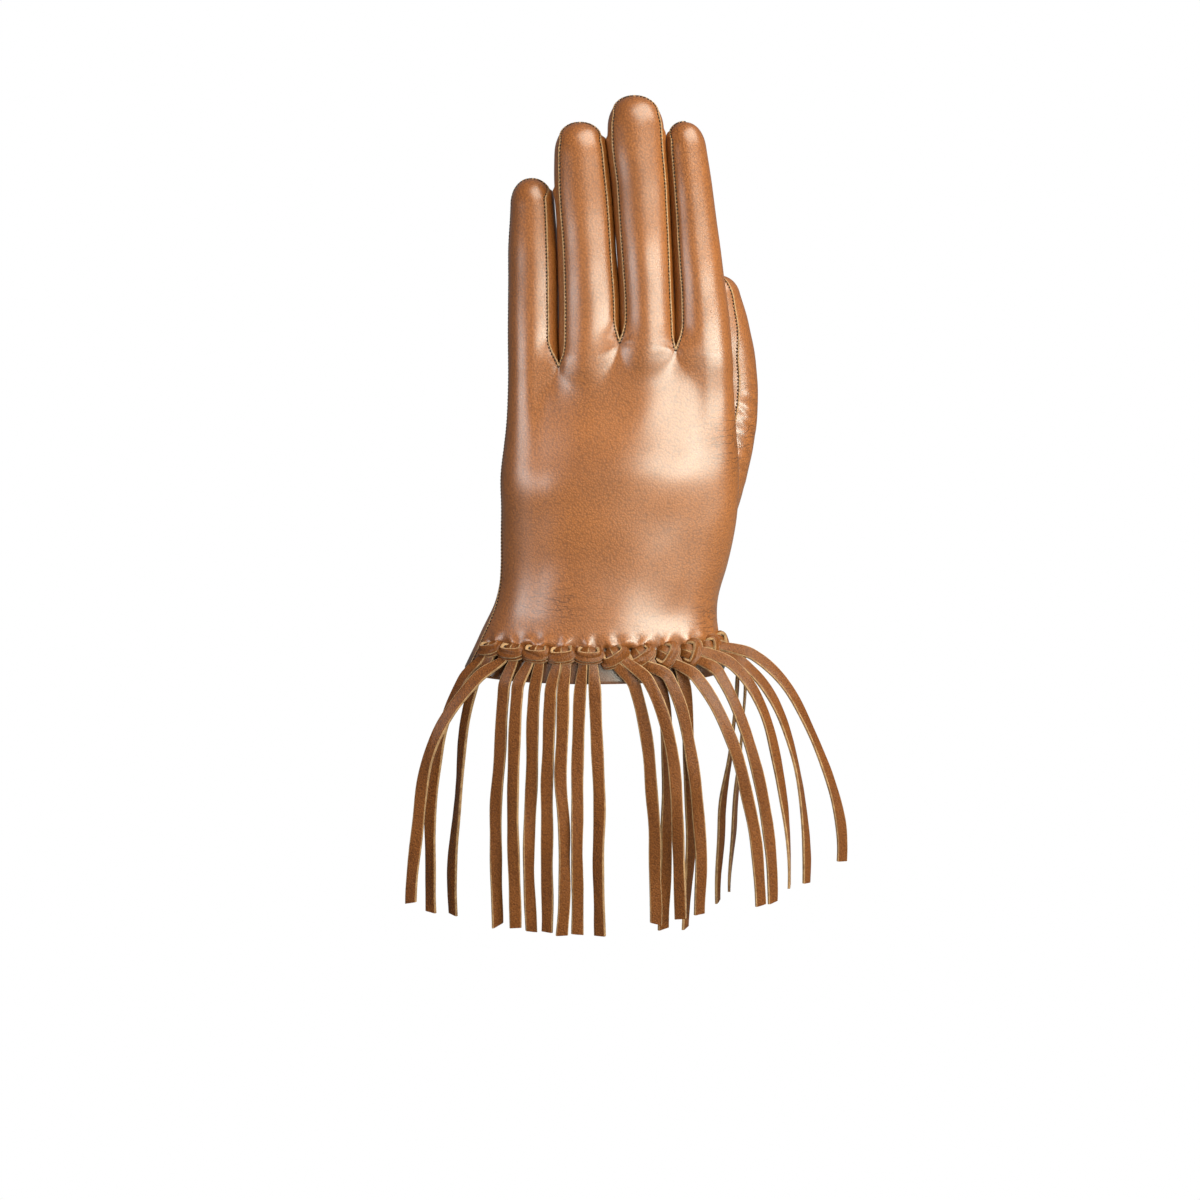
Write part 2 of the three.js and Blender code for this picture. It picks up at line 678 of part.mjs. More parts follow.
// The cutter of one punched slot.
function slotCutter(place, side) {
  const geometry = new THREE.BoxGeometry(
    STRIP_THICKNESS + 2 * SLOT_CLEARANCE,
    SLOT_DEPTH,
    LOOP_HEIGHT + 2 * SLOT_CLEARANCE,
  );
  geometry.translate(side * SLOT_SPACING / 2, -LEATHER, 0);
  return setAtKnot(geometry, place);
}

// The centre line of a hanging end, as long as the strip whatever its bends.
function strandPath(strand, place, side) {
  const start = place.at.clone().addScaledVector(place.out, LOOP_OUTSIDE - STRIP_THICKNESS / 2);
  start.addScaledVector(place.along, side * STRAND_OFFSET);
  const kick = start.clone().add(vector(strand.kickX, strand.kickY, strand.kickZ));
  let low = -STRAND_LENGTH;
  let high = 0;
  let curve = null;
  for (let k = 0; k < FITTING_STEPS; k += 1) {
    const endZ = (low + high) / 2;
    const end = vector(strand.endX, strand.endY, endZ);
    curve = new THREE.CubicBezierCurve3(start, kick, end.clone().setZ(endZ + strand.drop), end);
    if (curve.getLength() > STRAND_LENGTH) {
      low = endZ;
    } else {
      high = endZ;
    }
  }
  return curve;
}

// A hanging end: a flat strip that starts flat on the cuff and turns as it falls.
function strandSolid(strand, place, side) {
  const curve = strandPath(strand, place, side);
  const turn = radians(strand.face);
  const last = vector(Math.sin(turn), -Math.cos(turn), 0);
  const rings = [];
  for (let k = 0; k <= STRAND_STEPS; k += 1) {
    const share = k / STRAND_STEPS;
    const centre = curve.getPointAt(share);
    const forward = curve.getTangentAt(share);
    const flat = place.out.clone().lerp(last, ease(share));
    flat.addScaledVector(forward, -flat.dot(forward)).normalize();
    const across = flat.clone().cross(forward);
    rings.push([[-1, -1], [1, -1], [1, 1], [-1, 1]].map(([u, v]) => {
      const point = centre.clone().addScaledVector(across, u * STRIP_WIDTH / 2);
      return point.addScaledVector(flat, v * STRIP_THICKNESS / 2);
    }));
  }
  return skin(rings);
}

const group = new THREE.Group();

// Puts a material on a solid, names it and adds it to the glove.
function addMesh(name, solid, look) {
  const { vertProperties, triVerts } = solid.getMesh();
  const geometry = new THREE.BufferGeometry();
  geometry.setAttribute('position', new THREE.BufferAttribute(vertProperties, 3));
  geometry.setIndex(new THREE.BufferAttribute(triVerts, 1));
  geometry.computeVertexNormals();
  const mesh = new THREE.Mesh(geometry, new THREE.MeshStandardMaterial(look));
  mesh.name = name;
  group.add(mesh);
}

const NAPPA = { color: 0xb07a53, roughness: 0.42, metalness: 0 };
const PLUSH = { color: 0xb48f63, roughness: 0.95, metalness: 0 };
const LACE = { color: 0x8f5c3c, roughness: 0.6, metalness: 0 };

const thumbHollow = thumbTube(LEATHER);
const thumb = thumbTube(0).subtract(thumbHollow).subtract(handVolume());

const places = Array.from({ length: LACE_COUNT }, (unused, number) => knotPlace(number));
let trank = wallOf('trank').subtract(thumbHollow);
places.forEach((place) => {
  trank = trank.subtract(slotCutter(place, -1)).subtract(slotCutter(place, 1));
});

addMesh('trank', trank, NAPPA);
addMesh('thumb', thumb, NAPPA);
CROTCHES.forEach(({ name }) => addMesh(`fourchette_${name}`, wallOf(`fourchette_${name}`), NAPPA));
addMesh('cuff_lining', liningBand(), PLUSH);
places.forEach((place, k) => {
  const [first, second] = STRANDS.filter(({ lace }) => lace === k + 1);
  const ends = strandSolid(first, place, -1).add(strandSolid(second, place, 1));
  addMesh(`lace_${String(k + 1).padStart(2, '0')}`, laceLoop(place).add(ends), LACE);
});

export default group;
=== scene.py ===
# %% [markdown]
# A sheepskin dress glove for a left hand, with a fringe of knotted leather laces along the cuff.
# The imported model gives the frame: every piece made below goes where the solids say, in metres,
# with +Z up, the back of the hand facing -Y and the thumb on the +X side.

# %% Load the frame
import math

import bpy
import numpy as np
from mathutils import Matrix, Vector
from mathutils.bvhtree import BVHTree
from mathutils.kdtree import KDTree


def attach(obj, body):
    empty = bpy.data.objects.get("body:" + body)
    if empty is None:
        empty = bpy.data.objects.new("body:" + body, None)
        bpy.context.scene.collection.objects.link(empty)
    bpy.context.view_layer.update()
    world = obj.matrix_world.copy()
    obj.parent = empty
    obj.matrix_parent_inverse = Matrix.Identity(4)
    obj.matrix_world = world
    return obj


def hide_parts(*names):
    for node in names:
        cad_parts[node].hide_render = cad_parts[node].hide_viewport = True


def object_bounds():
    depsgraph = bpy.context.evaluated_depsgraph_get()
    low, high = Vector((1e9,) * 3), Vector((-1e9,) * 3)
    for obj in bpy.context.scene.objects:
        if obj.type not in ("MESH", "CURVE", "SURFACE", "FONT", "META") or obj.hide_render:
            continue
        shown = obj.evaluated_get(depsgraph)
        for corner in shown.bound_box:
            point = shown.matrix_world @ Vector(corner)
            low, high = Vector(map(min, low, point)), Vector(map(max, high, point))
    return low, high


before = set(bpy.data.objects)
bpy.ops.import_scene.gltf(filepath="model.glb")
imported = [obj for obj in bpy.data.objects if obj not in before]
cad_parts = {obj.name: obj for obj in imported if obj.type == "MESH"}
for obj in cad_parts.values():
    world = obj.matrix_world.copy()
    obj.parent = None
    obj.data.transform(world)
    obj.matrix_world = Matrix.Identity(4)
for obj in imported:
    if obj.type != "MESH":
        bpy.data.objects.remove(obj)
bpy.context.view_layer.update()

MM = 0.001
PI = math.pi
print("nodes in the frame:", len(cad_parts))


# %% [markdown]
# Leather goods are cut from a paper pattern with few measurements, so the whole glove is worked out
# from short tables: sections of the hand, of each finger and of the thumb, all in millimetres.
# A table here is a dictionary with one array for each named column.

# %% Tables of sections
def table(names, *rows):
    """A table with named columns, one row for each section."""
    return {name: np.array(values, float) for name, values in zip(names.split(), zip(*rows))}


HAND = table(
    "z left right back palm",
    (0, -50.8, 44.2, -27.0, 23.0),
    (12, -45.0, 41.6, -24.4, 21.0),
    (24, -39.4, 41.2, -21.2, 19.0),
    (38, -37.2, 44.6, -19.0, 18.0),
    (55, -36.8, 47.8, -18.0, 17.4),
    (74, -36.9, 48.4, -17.4, 16.4),
    (97, -35.2, 47.3, -15.6, 14.8),
    (118, -34.1, 45.1, -12.4, 13.0),
)


def finger(name, base, top, dome, y, curl, seams, sections):
    """One finger. seams are the angles of its two back seams, left and right, from the finger's side."""
    return {
        "name": name, "base": base, "top": top, "dome": dome, "y": y, "curl": curl,
        "seams": {-1: seams[0], 1: seams[1]},
        "sections": table("z left right deep", *sections),
    }


FINGERS = [
    finger(
        "pinky", base=109, top=173.9, dome=8.6, y=4.0, curl=5.0, seams=(39, 55),
        sections=[
            (105, -33.9, -16.3, 8.6), (132, -33.9, -16.2, 8.4), (149, -33.6, -16.6, 8.2),
            (165, -33.0, -17.4, 7.4), (174, -32.6, -18.8, 7.0),
        ],
    ),
    finger(
        "ring", base=113, top=193.3, dome=11.0, y=0.6, curl=5.0, seams=(38, 37),
        sections=[
            (108, -15.7, 4.7, 9.6), (129, -15.7, 5.4, 9.4), (149, -16.0, 4.1, 9.3),
            (169, -17.4, 2.6, 8.9), (184, -17.4, 0.9, 8.1), (193, -17.3, 0.4, 7.8),
        ],
    ),
    finger(
        "middle", base=116, top=202.2, dome=11.0, y=-1.0, curl=5.5, seams=(36, 30),
        sections=[
            (112, 5.4, 24.8, 9.8), (129, 6.0, 24.4, 9.6), (149, 4.6, 23.5, 9.5), (172, 2.9, 22.3, 9.2),
            (184, 1.5, 21.3, 8.8), (192, 1.2, 20.8, 8.4), (202, 1.2, 19.8, 8.0),
        ],
    ),
    finger(
        "index", base=114, top=193.5, dome=9.2, y=0.6, curl=5.0, seams=(43, 39),
        sections=[
            (110, 25.4, 45.6, 9.6), (132, 25.0, 43.4, 9.3), (149, 24.1, 41.0, 9.0),
            (171, 22.9, 38.1, 8.4), (184, 21.9, 35.9, 7.4), (193, 21.4, 35.0, 7.0),
        ],
    ),
]

# Heights of the crotches between the fingers, on the back and on the palm.
CROTCHES = [
    {"name": "pinky_ring", -1: 109.3, 1: 114.3},
    {"name": "ring_middle", -1: 118.0, 1: 122.5},
    {"name": "middle_index", -1: 115.2, 1: 120.0},
]

THUMB = table(
    "z x y wide deep",
    (26, 14.0, 2.0, 15.0, 12.0),
    (42, 22.0, 7.0, 18.4, 14.2),
    (59, 31.0, 12.0, 18.0, 14.6),
    (74, 38.4, 16.4, 15.2, 13.4),
    (90, 43.6, 20.0, 12.6, 11.8),
    (106, 44.9, 22.8, 11.0, 10.6),
    (120, 43.4, 24.2, 9.8, 9.8),
    (131, 41.0, 25.1, 8.9, 9.0),
)
THUMB_DOME = 9

LEATHER = 1.2
# Powers of the oval sections: 2 gives an ellipse, and more gives a fuller oval.
SECTION_POWER = 2.3
TIP_POWER = 2.2
# Depth of the line that parts the back of the hand from the palm.
EDGE_Y = 1
# Angles of the seams from a finger's side, and the stretch in which a gusset comes to its point.
CROTCH_ANGLE = 50
PALM_SEAM_ANGLE = 39
POINT_ANGLE = 7
POINT_LENGTH = 6
POINT_DROP = 1
# Above a crotch the fingers part within this height, and below it the knuckles take this much.
PARTING_HEIGHT = 10
KNUCKLE_LENGTH = 46
# Shares of a finger's curl at its base and at its tip.
LEAN = (-0.4, 1.2)
print("fingers:", [one["name"] for one in FINGERS])


# %% [markdown]
# A smooth skin needs values between the rows of a table. Cubic pieces whose slopes agree at each row
# leave no kinks, which glossy leather would show as broken reflections.

# %% Reading a table smoothly
def mix(a, b, t):
    """The value at a share t of the way from a to b."""
    return a + (b - a) * t


def ease(t):
    """A slope from 0 to 1 that starts and ends level."""
    t = np.clip(t, 0, 1)
    return t * t * (3 - 2 * t)


def bell(*steps):
    """A soft bump of height 1. Each step is a distance from its middle and the reach it fades over."""
    return np.exp(-sum((away / reach) ** 2 for away, reach in steps))


def ramp(t, soft=0.25):
    """An even slope from 0 to 1 with rounded ends."""
    t = np.clip(t, 0, 1)
    rise = np.where(t < soft, t**2 / (2 * soft), t - soft / 2)
    rise = np.where(t > 1 - soft, 1 - soft - (1 - t) ** 2 / (2 * soft), rise)
    return rise / (1 - soft)


def spline(marks, values, at):
    """A smooth curve through values, which stand at rising marks. The values may be points."""
    marks, values = np.asarray(marks, float), np.asarray(values, float)
    last = len(marks) - 1
    at = np.clip(at, marks[0], marks[-1])
    k = np.clip(np.searchsorted(marks, at) - 1, 0, last - 1)
    low, high = np.maximum(np.arange(last + 1) - 1, 0), np.minimum(np.arange(last + 1) + 1, last)
    shape = (...,) + (None,) * (values.ndim - 1)
    slopes = (values[high] - values[low]) / (marks[high] - marks[low])[shape]
    span = (marks[k + 1] - marks[k])[shape]
    t = (at - marks[k])[shape] / span
    bend = t * (1 - t) * span * ((1 - t) * slopes[k] - t * slopes[k + 1])
    return mix(values[k], values[k + 1], ease(t)) + bend


def column(rows, name, z):
    """One column of a table at heights z."""
    return spline(rows["z"], rows[name], z)


def unit(vectors):
    """Directions of length 1."""
    return vectors / np.maximum(np.linalg.norm(vectors, axis=-1, keepdims=True), 1e-9)


print("width of the hand at z = 80:", round(float(column(HAND, "right", 80) - column(HAND, "left", 80)), 1))


# %% [markdown]
# The glove's outside is one net of stations. Each finger has a back panel and a palm panel, which run
# from the hem to the fingertip, and two gusset strips. Below the crotches neighbouring panels share
# their edges, and above them they part in a short V. A net like this follows the pattern pieces of a
# real glove, so its edges are the real seams and its faces flow along the fingers. A sculpted or
# subdivided block would be quicker, but its edges would know nothing of the seams.

# %% Shape of the fingers
def finger_section(index, z):
    """Centre and half sizes of one finger's oval section at heights z."""
    one = FINGERS[index]
    left = column(one["sections"], "left", z)
    right = column(one["sections"], "right", z)
    rise = np.clip((z - one["top"] + one["dome"]) / one["dome"], 0, 1)
    round_share = (1 - rise**TIP_POWER) ** (1 / TIP_POWER)
    reach = np.clip((z - one["base"]) / (one["top"] - one["base"]), 0, 1)
    depth = column(one["sections"], "deep", z)
    y = one["y"] + one["curl"] * mix(*LEAN, reach)
    return (left + right) / 2, y, round_share * (right - left) / 2, round_share * depth


def gap_beside(index, side):
    """Number of the crotch on one side of a finger, or None on the outer side of the hand."""
    gap = index if side > 0 else index - 1
    return gap if 0 <= gap < len(CROTCHES) else None


def slit_x(gap, z):
    """The middle between two neighbouring fingers."""
    right = column(FINGERS[gap]["sections"], "right", z)
    left = column(FINGERS[gap + 1]["sections"], "left", z)
    return (left + right) / 2


def seam_angle(index, side, face, z, parted):
    """Angle from the finger's side to its seam. It narrows where the gusset comes to a point."""
    one = FINGERS[index]
    along = math.radians(one["seams"][side] if face < 0 else PALM_SEAM_ANGLE)
    start = one["top"] - POINT_DROP - POINT_LENGTH
    angle = mix(math.radians(CROTCH_ANGLE), along, parted)
    return mix(angle, math.radians(POINT_ANGLE), ease((z - start) / POINT_LENGTH))


def shared_y(gap, z, face):
    """Depth of the seam line that two fingers share where they still touch."""
    depths = []
    for index, side in ((gap, 1), (gap + 1, -1)):
        _, y, _, deep = finger_section(index, z)
        depths.append(y + face * deep * np.sin(seam_angle(index, side, face, z, 0)))
    return (depths[0] + depths[1]) / 2


def panel_on_finger(index, face, s, z, parted):
    """Points of a finger's back (-1) or palm (+1) panel, with s from -1 at its left edge to +1."""
    x, y, wide, deep = finger_section(index, z)
    share = np.abs(s)
    sides = {}
    for side in (-1, 1):
        gap = gap_beside(index, side)
        if gap is None:
            turn = PI / 2 * (1 - share)
            px = x + side * wide * np.cos(turn)
            py = y + face * deep * np.sin(turn)
        else:
            seam = seam_angle(index, side, face, z, parted)
            turn = mix(PI / 2, seam, share)
            edge = mix(slit_x(gap, z), x + side * wide * np.cos(seam), parted)
            own = y + face * deep * np.sin(seam)
            pull = (shared_y(gap, z, face) - own) * share**2 * (1 - parted)
            px = x + (edge - x) * np.cos(turn) / np.cos(seam)
            py = y + face * deep * np.sin(turn) + pull
        sides[side] = np.stack([px, py, z], axis=-1)
    return np.where((s < 0)[..., None], sides[-1], sides[1])


def gusset_on_finger(index, side, across, z, parted):
    """Points of the gusset on one side of a finger, with across from 0 at the back to 1 at the palm."""
    x, y, wide, deep = finger_section(index, z)
    gap = gap_beside(index, side)
    back = seam_angle(index, side, -1, z, parted)
    palm = seam_angle(index, side, 1, z, parted)
    turn = mix(back, -palm, across)
    shared = mix(shared_y(gap, z, -1), shared_y(gap, z, 1), across)
    px = mix(slit_x(gap, z), x + side * wide * np.cos(turn), parted)
    return np.stack([px, mix(shared, y - deep * np.sin(turn), parted), z], axis=-1)


print("section of the middle finger at z = 150:", [round(float(v), 1) for v in finger_section(2, 150)])


# %% [markdown]
# Below the fingers the section is one broad oval. A superellipse, which is an ellipse with another
# power than 2, is a little fuller at its corners, as a hand is.

# %% Shape of the hand
def hand_point(c, face, z, inset=0.0):
    """Points of the hand's section, with c from -1 at the left edge to +1 at the right edge."""
    left, right = column(HAND, "left", z), column(HAND, "right", z)
    crest = column(HAND, "back" if face < 0 else "palm", z)
    wide, deep = (right - left) / 2, np.abs(crest - EDGE_Y)
    height = np.maximum(1 - np.abs(c) ** SECTION_POWER, 0) ** (1 / SECTION_POWER)
    out_x = np.sign(c) * np.abs(c) ** (SECTION_POWER - 1) / wide
    out_y = face * height ** (SECTION_POWER - 1) / deep
    length = np.hypot(out_x, out_y)
    px = (left + right) / 2 + c * wide - inset * out_x / length
    py = EDGE_Y + face * deep * height - inset * out_y / length
    return np.stack(np.broadcast_arrays(px, py, z), axis=-1)


print("crest of the hand's back at z = 80:", hand_point(0.0, -1, 80.0).round(1))


# %% [markdown]
# The stations stand close together where small things happen: along the seams, at the crotches, on
# the round fingertips and behind the laces. Elsewhere the leather is plain and takes wide steps.

# %% Stations of the net
EDGE_CROWDING = 0.6


def stations(count):
    """Stations across one panel, from -1 to +1, closer together towards its edges."""
    even = np.linspace(0, 1, count + 1)
    half = mix(even, np.sin(PI / 2 * even), EDGE_CROWDING)
    return np.concatenate([-half[::-1], half[1:]])


PANEL_SHARES = {-1: stations(16), 1: stations(8)}
GUSSET_SHARES = np.linspace(0, 1, 13)
CUFF_SHARE = 0.2
HAND_SHARES = np.concatenate([np.linspace(0, CUFF_SHARE, 36)[:-1], np.linspace(CUFF_SHARE, 1, 64)])
STRAIGHT_SHARES = np.concatenate([np.linspace(0, 0.08, 12)[1:-1], np.linspace(0.08, 1, 54)])
DOME_SHARES = np.sin(np.linspace(0, PI / 2, 14)[1:]) ** (2 / TIP_POWER)
CROTCH_ROW = len(HAND_SHARES) - 1
POINT_ROW = CROTCH_ROW + len(STRAIGHT_SHARES) + 8


def panel_base(index, face, s):
    """Height at which a panel passes from the hand to its finger."""
    one = FINGERS[index]
    edges = {}
    for side in (-1, 1):
        gap = gap_beside(index, side)
        edges[side] = one["base"] if gap is None else CROTCHES[gap][face]
    edge = np.where(s < 0, edges[-1], edges[1])
    return one["base"] + (edge - one["base"]) * s**2


def row_heights(index, base):
    """Heights of all rows above each station's hem."""
    one = FINGERS[index]
    shoulder = one["top"] - one["dome"]
    hand = base * HAND_SHARES[:, None]
    straight = base + (shoulder - base) * STRAIGHT_SHARES[:, None]
    dome = shoulder + one["dome"] * DOME_SHARES[:, None] * np.ones(base.shape[-1])
    return np.concatenate([hand, straight, dome])


def parting(height):
    """How far two fingers have parted at a height above their crotch, from 0 to 1."""
    return np.sin(PI / 2 * np.clip(height / PARTING_HEIGHT, 0, 1))


def panel_share(index, face, s):
    """Share of the hand's width at which each station comes down to the hem."""
    def edge_x(which, at):
        at = np.array([float(at)])
        return panel_on_finger(which, face, at, panel_base(which, face, at), 0)[0, 0]

    low, high = edge_x(0, -1), edge_x(len(FINGERS) - 1, 1)
    x = panel_on_finger(index, face, s, panel_base(index, face, s), 0)[..., 0]
    return np.clip(2 * (x - low) / (high - low) - 1, -1, 1)


def panel_grid(index, face):
    """All points of one panel, row by row from the hem to the fingertip."""
    shares = PANEL_SHARES[face]
    base = panel_base(index, face, shares)
    z = row_heights(index, base)
    s = np.broadcast_to(shares, z.shape)
    on_finger = panel_on_finger(index, face, s, z, parting(z - base))
    on_hand = hand_point(panel_share(index, face, shares), face, z)
    return mix(on_hand, on_finger, ramp((z - base + KNUCKLE_LENGTH) / KNUCKLE_LENGTH)[..., None])


def gusset_grid(index, side):
    """All points of one gusset strip, row by row from its crotch to the fingertip."""
    crotch = CROTCHES[gap_beside(index, side)]
    base = mix(crotch[-1], crotch[1], GUSSET_SHARES)
    z = row_heights(index, base)[CROTCH_ROW:]
    across = np.broadcast_to(GUSSET_SHARES, z.shape)
    return gusset_on_finger(index, side, across, z, parting(z - base))


print("stations of one panel:", panel_grid(0, -1).shape[:2])


# %% [markdown]
# The strips are now joined into one net: points that fall together become one corner, and every face
# remembers which pattern piece it belongs to. Joining first and cutting the pieces apart afterwards
# gives neighbouring pieces the same normals along their seam, so they meet without a step.

# %% Joining the strips
strips = []


def add_strip(key, points, owners, flip):
    """Notes one strip of the net. owners names the pattern piece of each row of faces."""
    strips.append({"key": key, "points": points, "owners": owners, "flip": flip})


for index in range(len(FINGERS)):
    for face in (-1, 1):
        grid = panel_grid(index, face)
        add_strip(("panel", index, face), grid, ["trank"] * (len(grid) - 1), face > 0)
    for side in (-1, 1):
        gap = gap_beside(index, side)
        if gap is not None:
            grid = gusset_grid(index, side)
            pointed = POINT_ROW - CROTCH_ROW
            owners = ["fourchette_" + CROTCHES[gap]["name"]] * pointed
            owners += ["trank"] * (len(grid) - 1 - pointed)
            add_strip(("gusset", index, side), grid, owners, side < 0)


# Points closer than this are one corner. The offset keeps round numbers off the limits between keys.
SAME_POINT = 0.002
KEY_OFFSET = 0.317


def join_strips():
    """Merged points, the faces as rows of four corners, their owners, and each strip's corner numbers."""
    loose = np.concatenate([strip["points"].reshape(-1, 3) for strip in strips])
    keys = np.round(loose / SAME_POINT + KEY_OFFSET).astype(np.int64)
    _, first, number = np.unique(keys, axis=0, return_index=True, return_inverse=True)
    number = number.reshape(-1)
    quads, owners, grids, start = [], [], {}, 0
    for strip in strips:
        rows, columns = strip["points"].shape[:2]
        grid = number[start:start + rows * columns].reshape(rows, columns)
        start += rows * columns
        quad = np.stack([grid[:-1, :-1], grid[:-1, 1:], grid[1:, 1:], grid[1:, :-1]], axis=-1)
        if strip["flip"]:
            quad = quad[..., ::-1]
        quads.append(quad.reshape(-1, 4))
        owners += [owner for owner in strip["owners"] for k in range(columns - 1)]
        grids[strip["key"]] = grid
    return loose[first], np.concatenate(quads), np.array(owners), grids


net, net_quads, net_owners, net_grids = join_strips()
print("corners:", len(net), "faces:", len(net_quads))


# %% [markdown]
# Worn leather spans the valleys between the knuckles. In the net the valleys run on as sharp lines
# below the crotches, so each one is averaged with its neighbours at the same height, more so
# further down. Averaging at even heights, and not along the net's own rows, leaves no ridge where the
# rows bend at a crotch.

# %% Softer valleys
def corner_normals(points, quads):
    """Outward directions, weighted by the faces' sizes."""
    across = np.cross(points[quads[:, 2]] - points[quads[:, 0]], points[quads[:, 3]] - points[quads[:, 1]])
    normals = np.zeros_like(points)
    for k in range(4):
        np.add.at(normals, quads[:, k], across)
    return unit(normals)


VALLEY_REACH = 5.5
VALLEY_LEAST = 0.05
VALLEY_FADE = 12
VALLEY_LEVELS = np.arange(2.0, 124.0)
# The outer edges of the hand keep their form. The change fades in over this distance from them.
VALLEY_EDGE = 8


def soften_valleys(points):
    """Rounds the valleys between the knuckles, on the back and on the palm."""
    for face in (-1, 1):
        parts = [net_grids["panel", index, face][:, min(index, 1):] for index in range(len(FINGERS))]
        columns = np.concatenate(parts, axis=1)
        x, y, z = points[columns].transpose(2, 0, 1)
        count = columns.shape[1]
        level_x = np.stack([np.interp(VALLEY_LEVELS, z[:, k], x[:, k]) for k in range(count)], axis=1)
        level_y = np.stack([np.interp(VALLEY_LEVELS, z[:, k], y[:, k]) for k in range(count)], axis=1)
        change = np.zeros_like(level_y)
        for row, level in enumerate(VALLEY_LEVELS):
            along = level_x[row]
            reach = VALLEY_REACH * ease((z[CROTCH_ROW] - level - 1) / VALLEY_FADE) + VALLEY_LEAST
            near = np.exp(-0.5 * ((along[:, None] - along) / reach[:, None]) ** 2)
            weights = near * np.abs(np.gradient(along))
            soft = weights @ level_y[row] / weights.sum(axis=1)
            from_edge = np.minimum(along - along[0], along[-1] - along)
            inner = ease((from_edge - VALLEY_EDGE) / VALLEY_EDGE)
            change[row] = (soft - level_y[row]) * inner
        for k in range(count):
            corners = columns[:CROTCH_ROW, k]
            points[corners, 1] += np.interp(points[corners, 2], VALLEY_LEVELS, change[:, k])


before = net[:, 1].copy()
soften_valleys(net)
net_out = corner_normals(net, net_quads)
on_hem = net[:, 2] < SAME_POINT
net_out[on_hem, 2] = 0
net_out = unit(net_out)
print("valleys raised by up to", round(float(np.abs(net[:, 1] - before).max()), 2), "mm")


# %% [markdown]
# Eleven laces are knotted along the back of the cuff, each through two punched slots. Their places
# are measured along the leather itself, because that is how a maker marks them out with dividers.

# %% Places of the knots
LACE_COUNT = 11
LACE_HEIGHT = 9.2
LACE_START = 17.3
LACE_STEP = 9.2
SLOT_SPACING = 6.0
PATH_STEPS = 400

row_shares = -np.cos(PI * np.arange(PATH_STEPS + 1) / PATH_STEPS)
row_points = hand_point(row_shares, -1, np.full(PATH_STEPS + 1, LACE_HEIGHT))
row_lengths = np.concatenate([[0], np.cumsum(np.linalg.norm(np.diff(row_points, axis=0), axis=1))])


def on_cuff(distance, z):
    """A point of the cuff's back, at a distance along the row of the laces."""
    return hand_point(np.interp(distance, row_lengths, row_shares), -1, np.float64(z))


def knot_place(number):
    """Place of a knot with its directions along the hem, up the leather and straight out of it."""
    distance = LACE_START + LACE_STEP * number
    at = on_cuff(distance, LACE_HEIGHT)
    reach = SLOT_SPACING / 2
    along = unit(on_cuff(distance + reach, LACE_HEIGHT) - on_cuff(distance - reach, LACE_HEIGHT))
    up = unit(on_cuff(distance, LACE_HEIGHT + 1) - on_cuff(distance, LACE_HEIGHT - 1))
    out = unit(np.cross(along, up))
    return {"at": at, "along": along, "up": np.cross(out, along), "out": out}


KNOTS = [knot_place(number) for number in range(LACE_COUNT)]
print("first knot at", KNOTS[0]["at"].round(1), "last at", KNOTS[-1]["at"].round(1))


# %% [markdown]
# Leather is never quite smooth. It is pulled in at each knot, gathers in small folds above it, puckers
# at the points of the crotches and ripples softly everywhere. Each effect is a height added along the
# surface's normals, so the folds are real shape that also shows in the outline. Cloth simulation
# would give folds too, but not at the places where the photo shows them.

# %% Folds, puckers and ripples
KNOT_REACH = 18
DIMPLE_DEPTH, SLOT_SINK, PUCKER_RISE, FOLD_RISE = 0.9, 1.1, 0.55, 0.32
SLOT_SIDE, SLOT_ABOVE = 3.3, 2.4
CROTCH_REACH = 14
CROTCH_FOLD, CROTCH_SINK = 0.05, 0.25


def ripples(points, seed, count, shortest, longest, height):
    """Soft random waves over a surface, from a few waves with fixed random directions."""
    random = np.random.default_rng(seed)
    total = np.zeros(len(points))
    for k in range(count):
        length = mix(shortest, longest, random.random())
        direction = unit(random.normal(size=3))
        total += np.sin(points @ direction * 2 * PI / length + random.random() * 2 * PI) * length
    return height * total / (longest * math.sqrt(count))


def knot_pull(points):
    """The dimple at each knot, and the folds that gather above it."""
    total = np.zeros(len(points))
    for number, knot in enumerate(KNOTS):
        away = points - knot["at"]
        u, w = away @ knot["along"], away @ knot["up"]
        r = np.hypot(u, w)
        near = (r < KNOT_REACH) & (points[:, 1] < EDGE_Y)
        dimple = -DIMPLE_DEPTH * bell((u, 3.6), (w - 0.4, 3.0))
        slots = sum(bell((u - side * SLOT_SIDE, 1.0), (w - SLOT_ABOVE, 1.5)) for side in (-1, 1))
        pucker = bell((u, 1.5), (w - 3.6, 1.5))
        turn = np.arctan2(u, w)
        folds = np.cos(6 * turn + 1.7 * number) * bell((r - 5.0, 2.4)) * ease((w + 1) / 4)
        total += near * (dimple - SLOT_SINK * slots + PUCKER_RISE * pucker + FOLD_RISE * folds)
    return total


def crotch_pull(points):
    """Small folds that spread from the sewn points of the crotches."""
    total = np.zeros(len(points))
    for gap, crotch in enumerate(CROTCHES):
        for face in (-1, 1):
            z = np.float64(crotch[face])
            at = np.array([slit_x(gap, z), shared_y(gap, z, face), z])
            away = points - at
            u, w = away[:, 0], -away[:, 2]
            r = np.hypot(u, w)
            near = (r < CROTCH_REACH) & (away[:, 1] * face > -4)
            folds = np.cos(7 * np.arctan2(u, w)) * bell((r - 3, 2.6))
            total += near * (CROTCH_FOLD * folds - CROTCH_SINK * bell((r, 1.8)))
    return total


HAND_RIPPLES = {"seed": 7, "count": 14, "shortest": 9, "longest": 34, "height": 0.16}
crest = hand_point(0.0, -1, 80.0)[None]
print("height of the ripples at the crest:", ripples(crest, **HAND_RIPPLES).round(2))


# %% [markdown]
# In the photo the fingers lie close together, and a gusset that has room bulges until it touches its
# neighbour. The gap between two ovals is known at each height, so the bulge is worked out and not
# simulated.

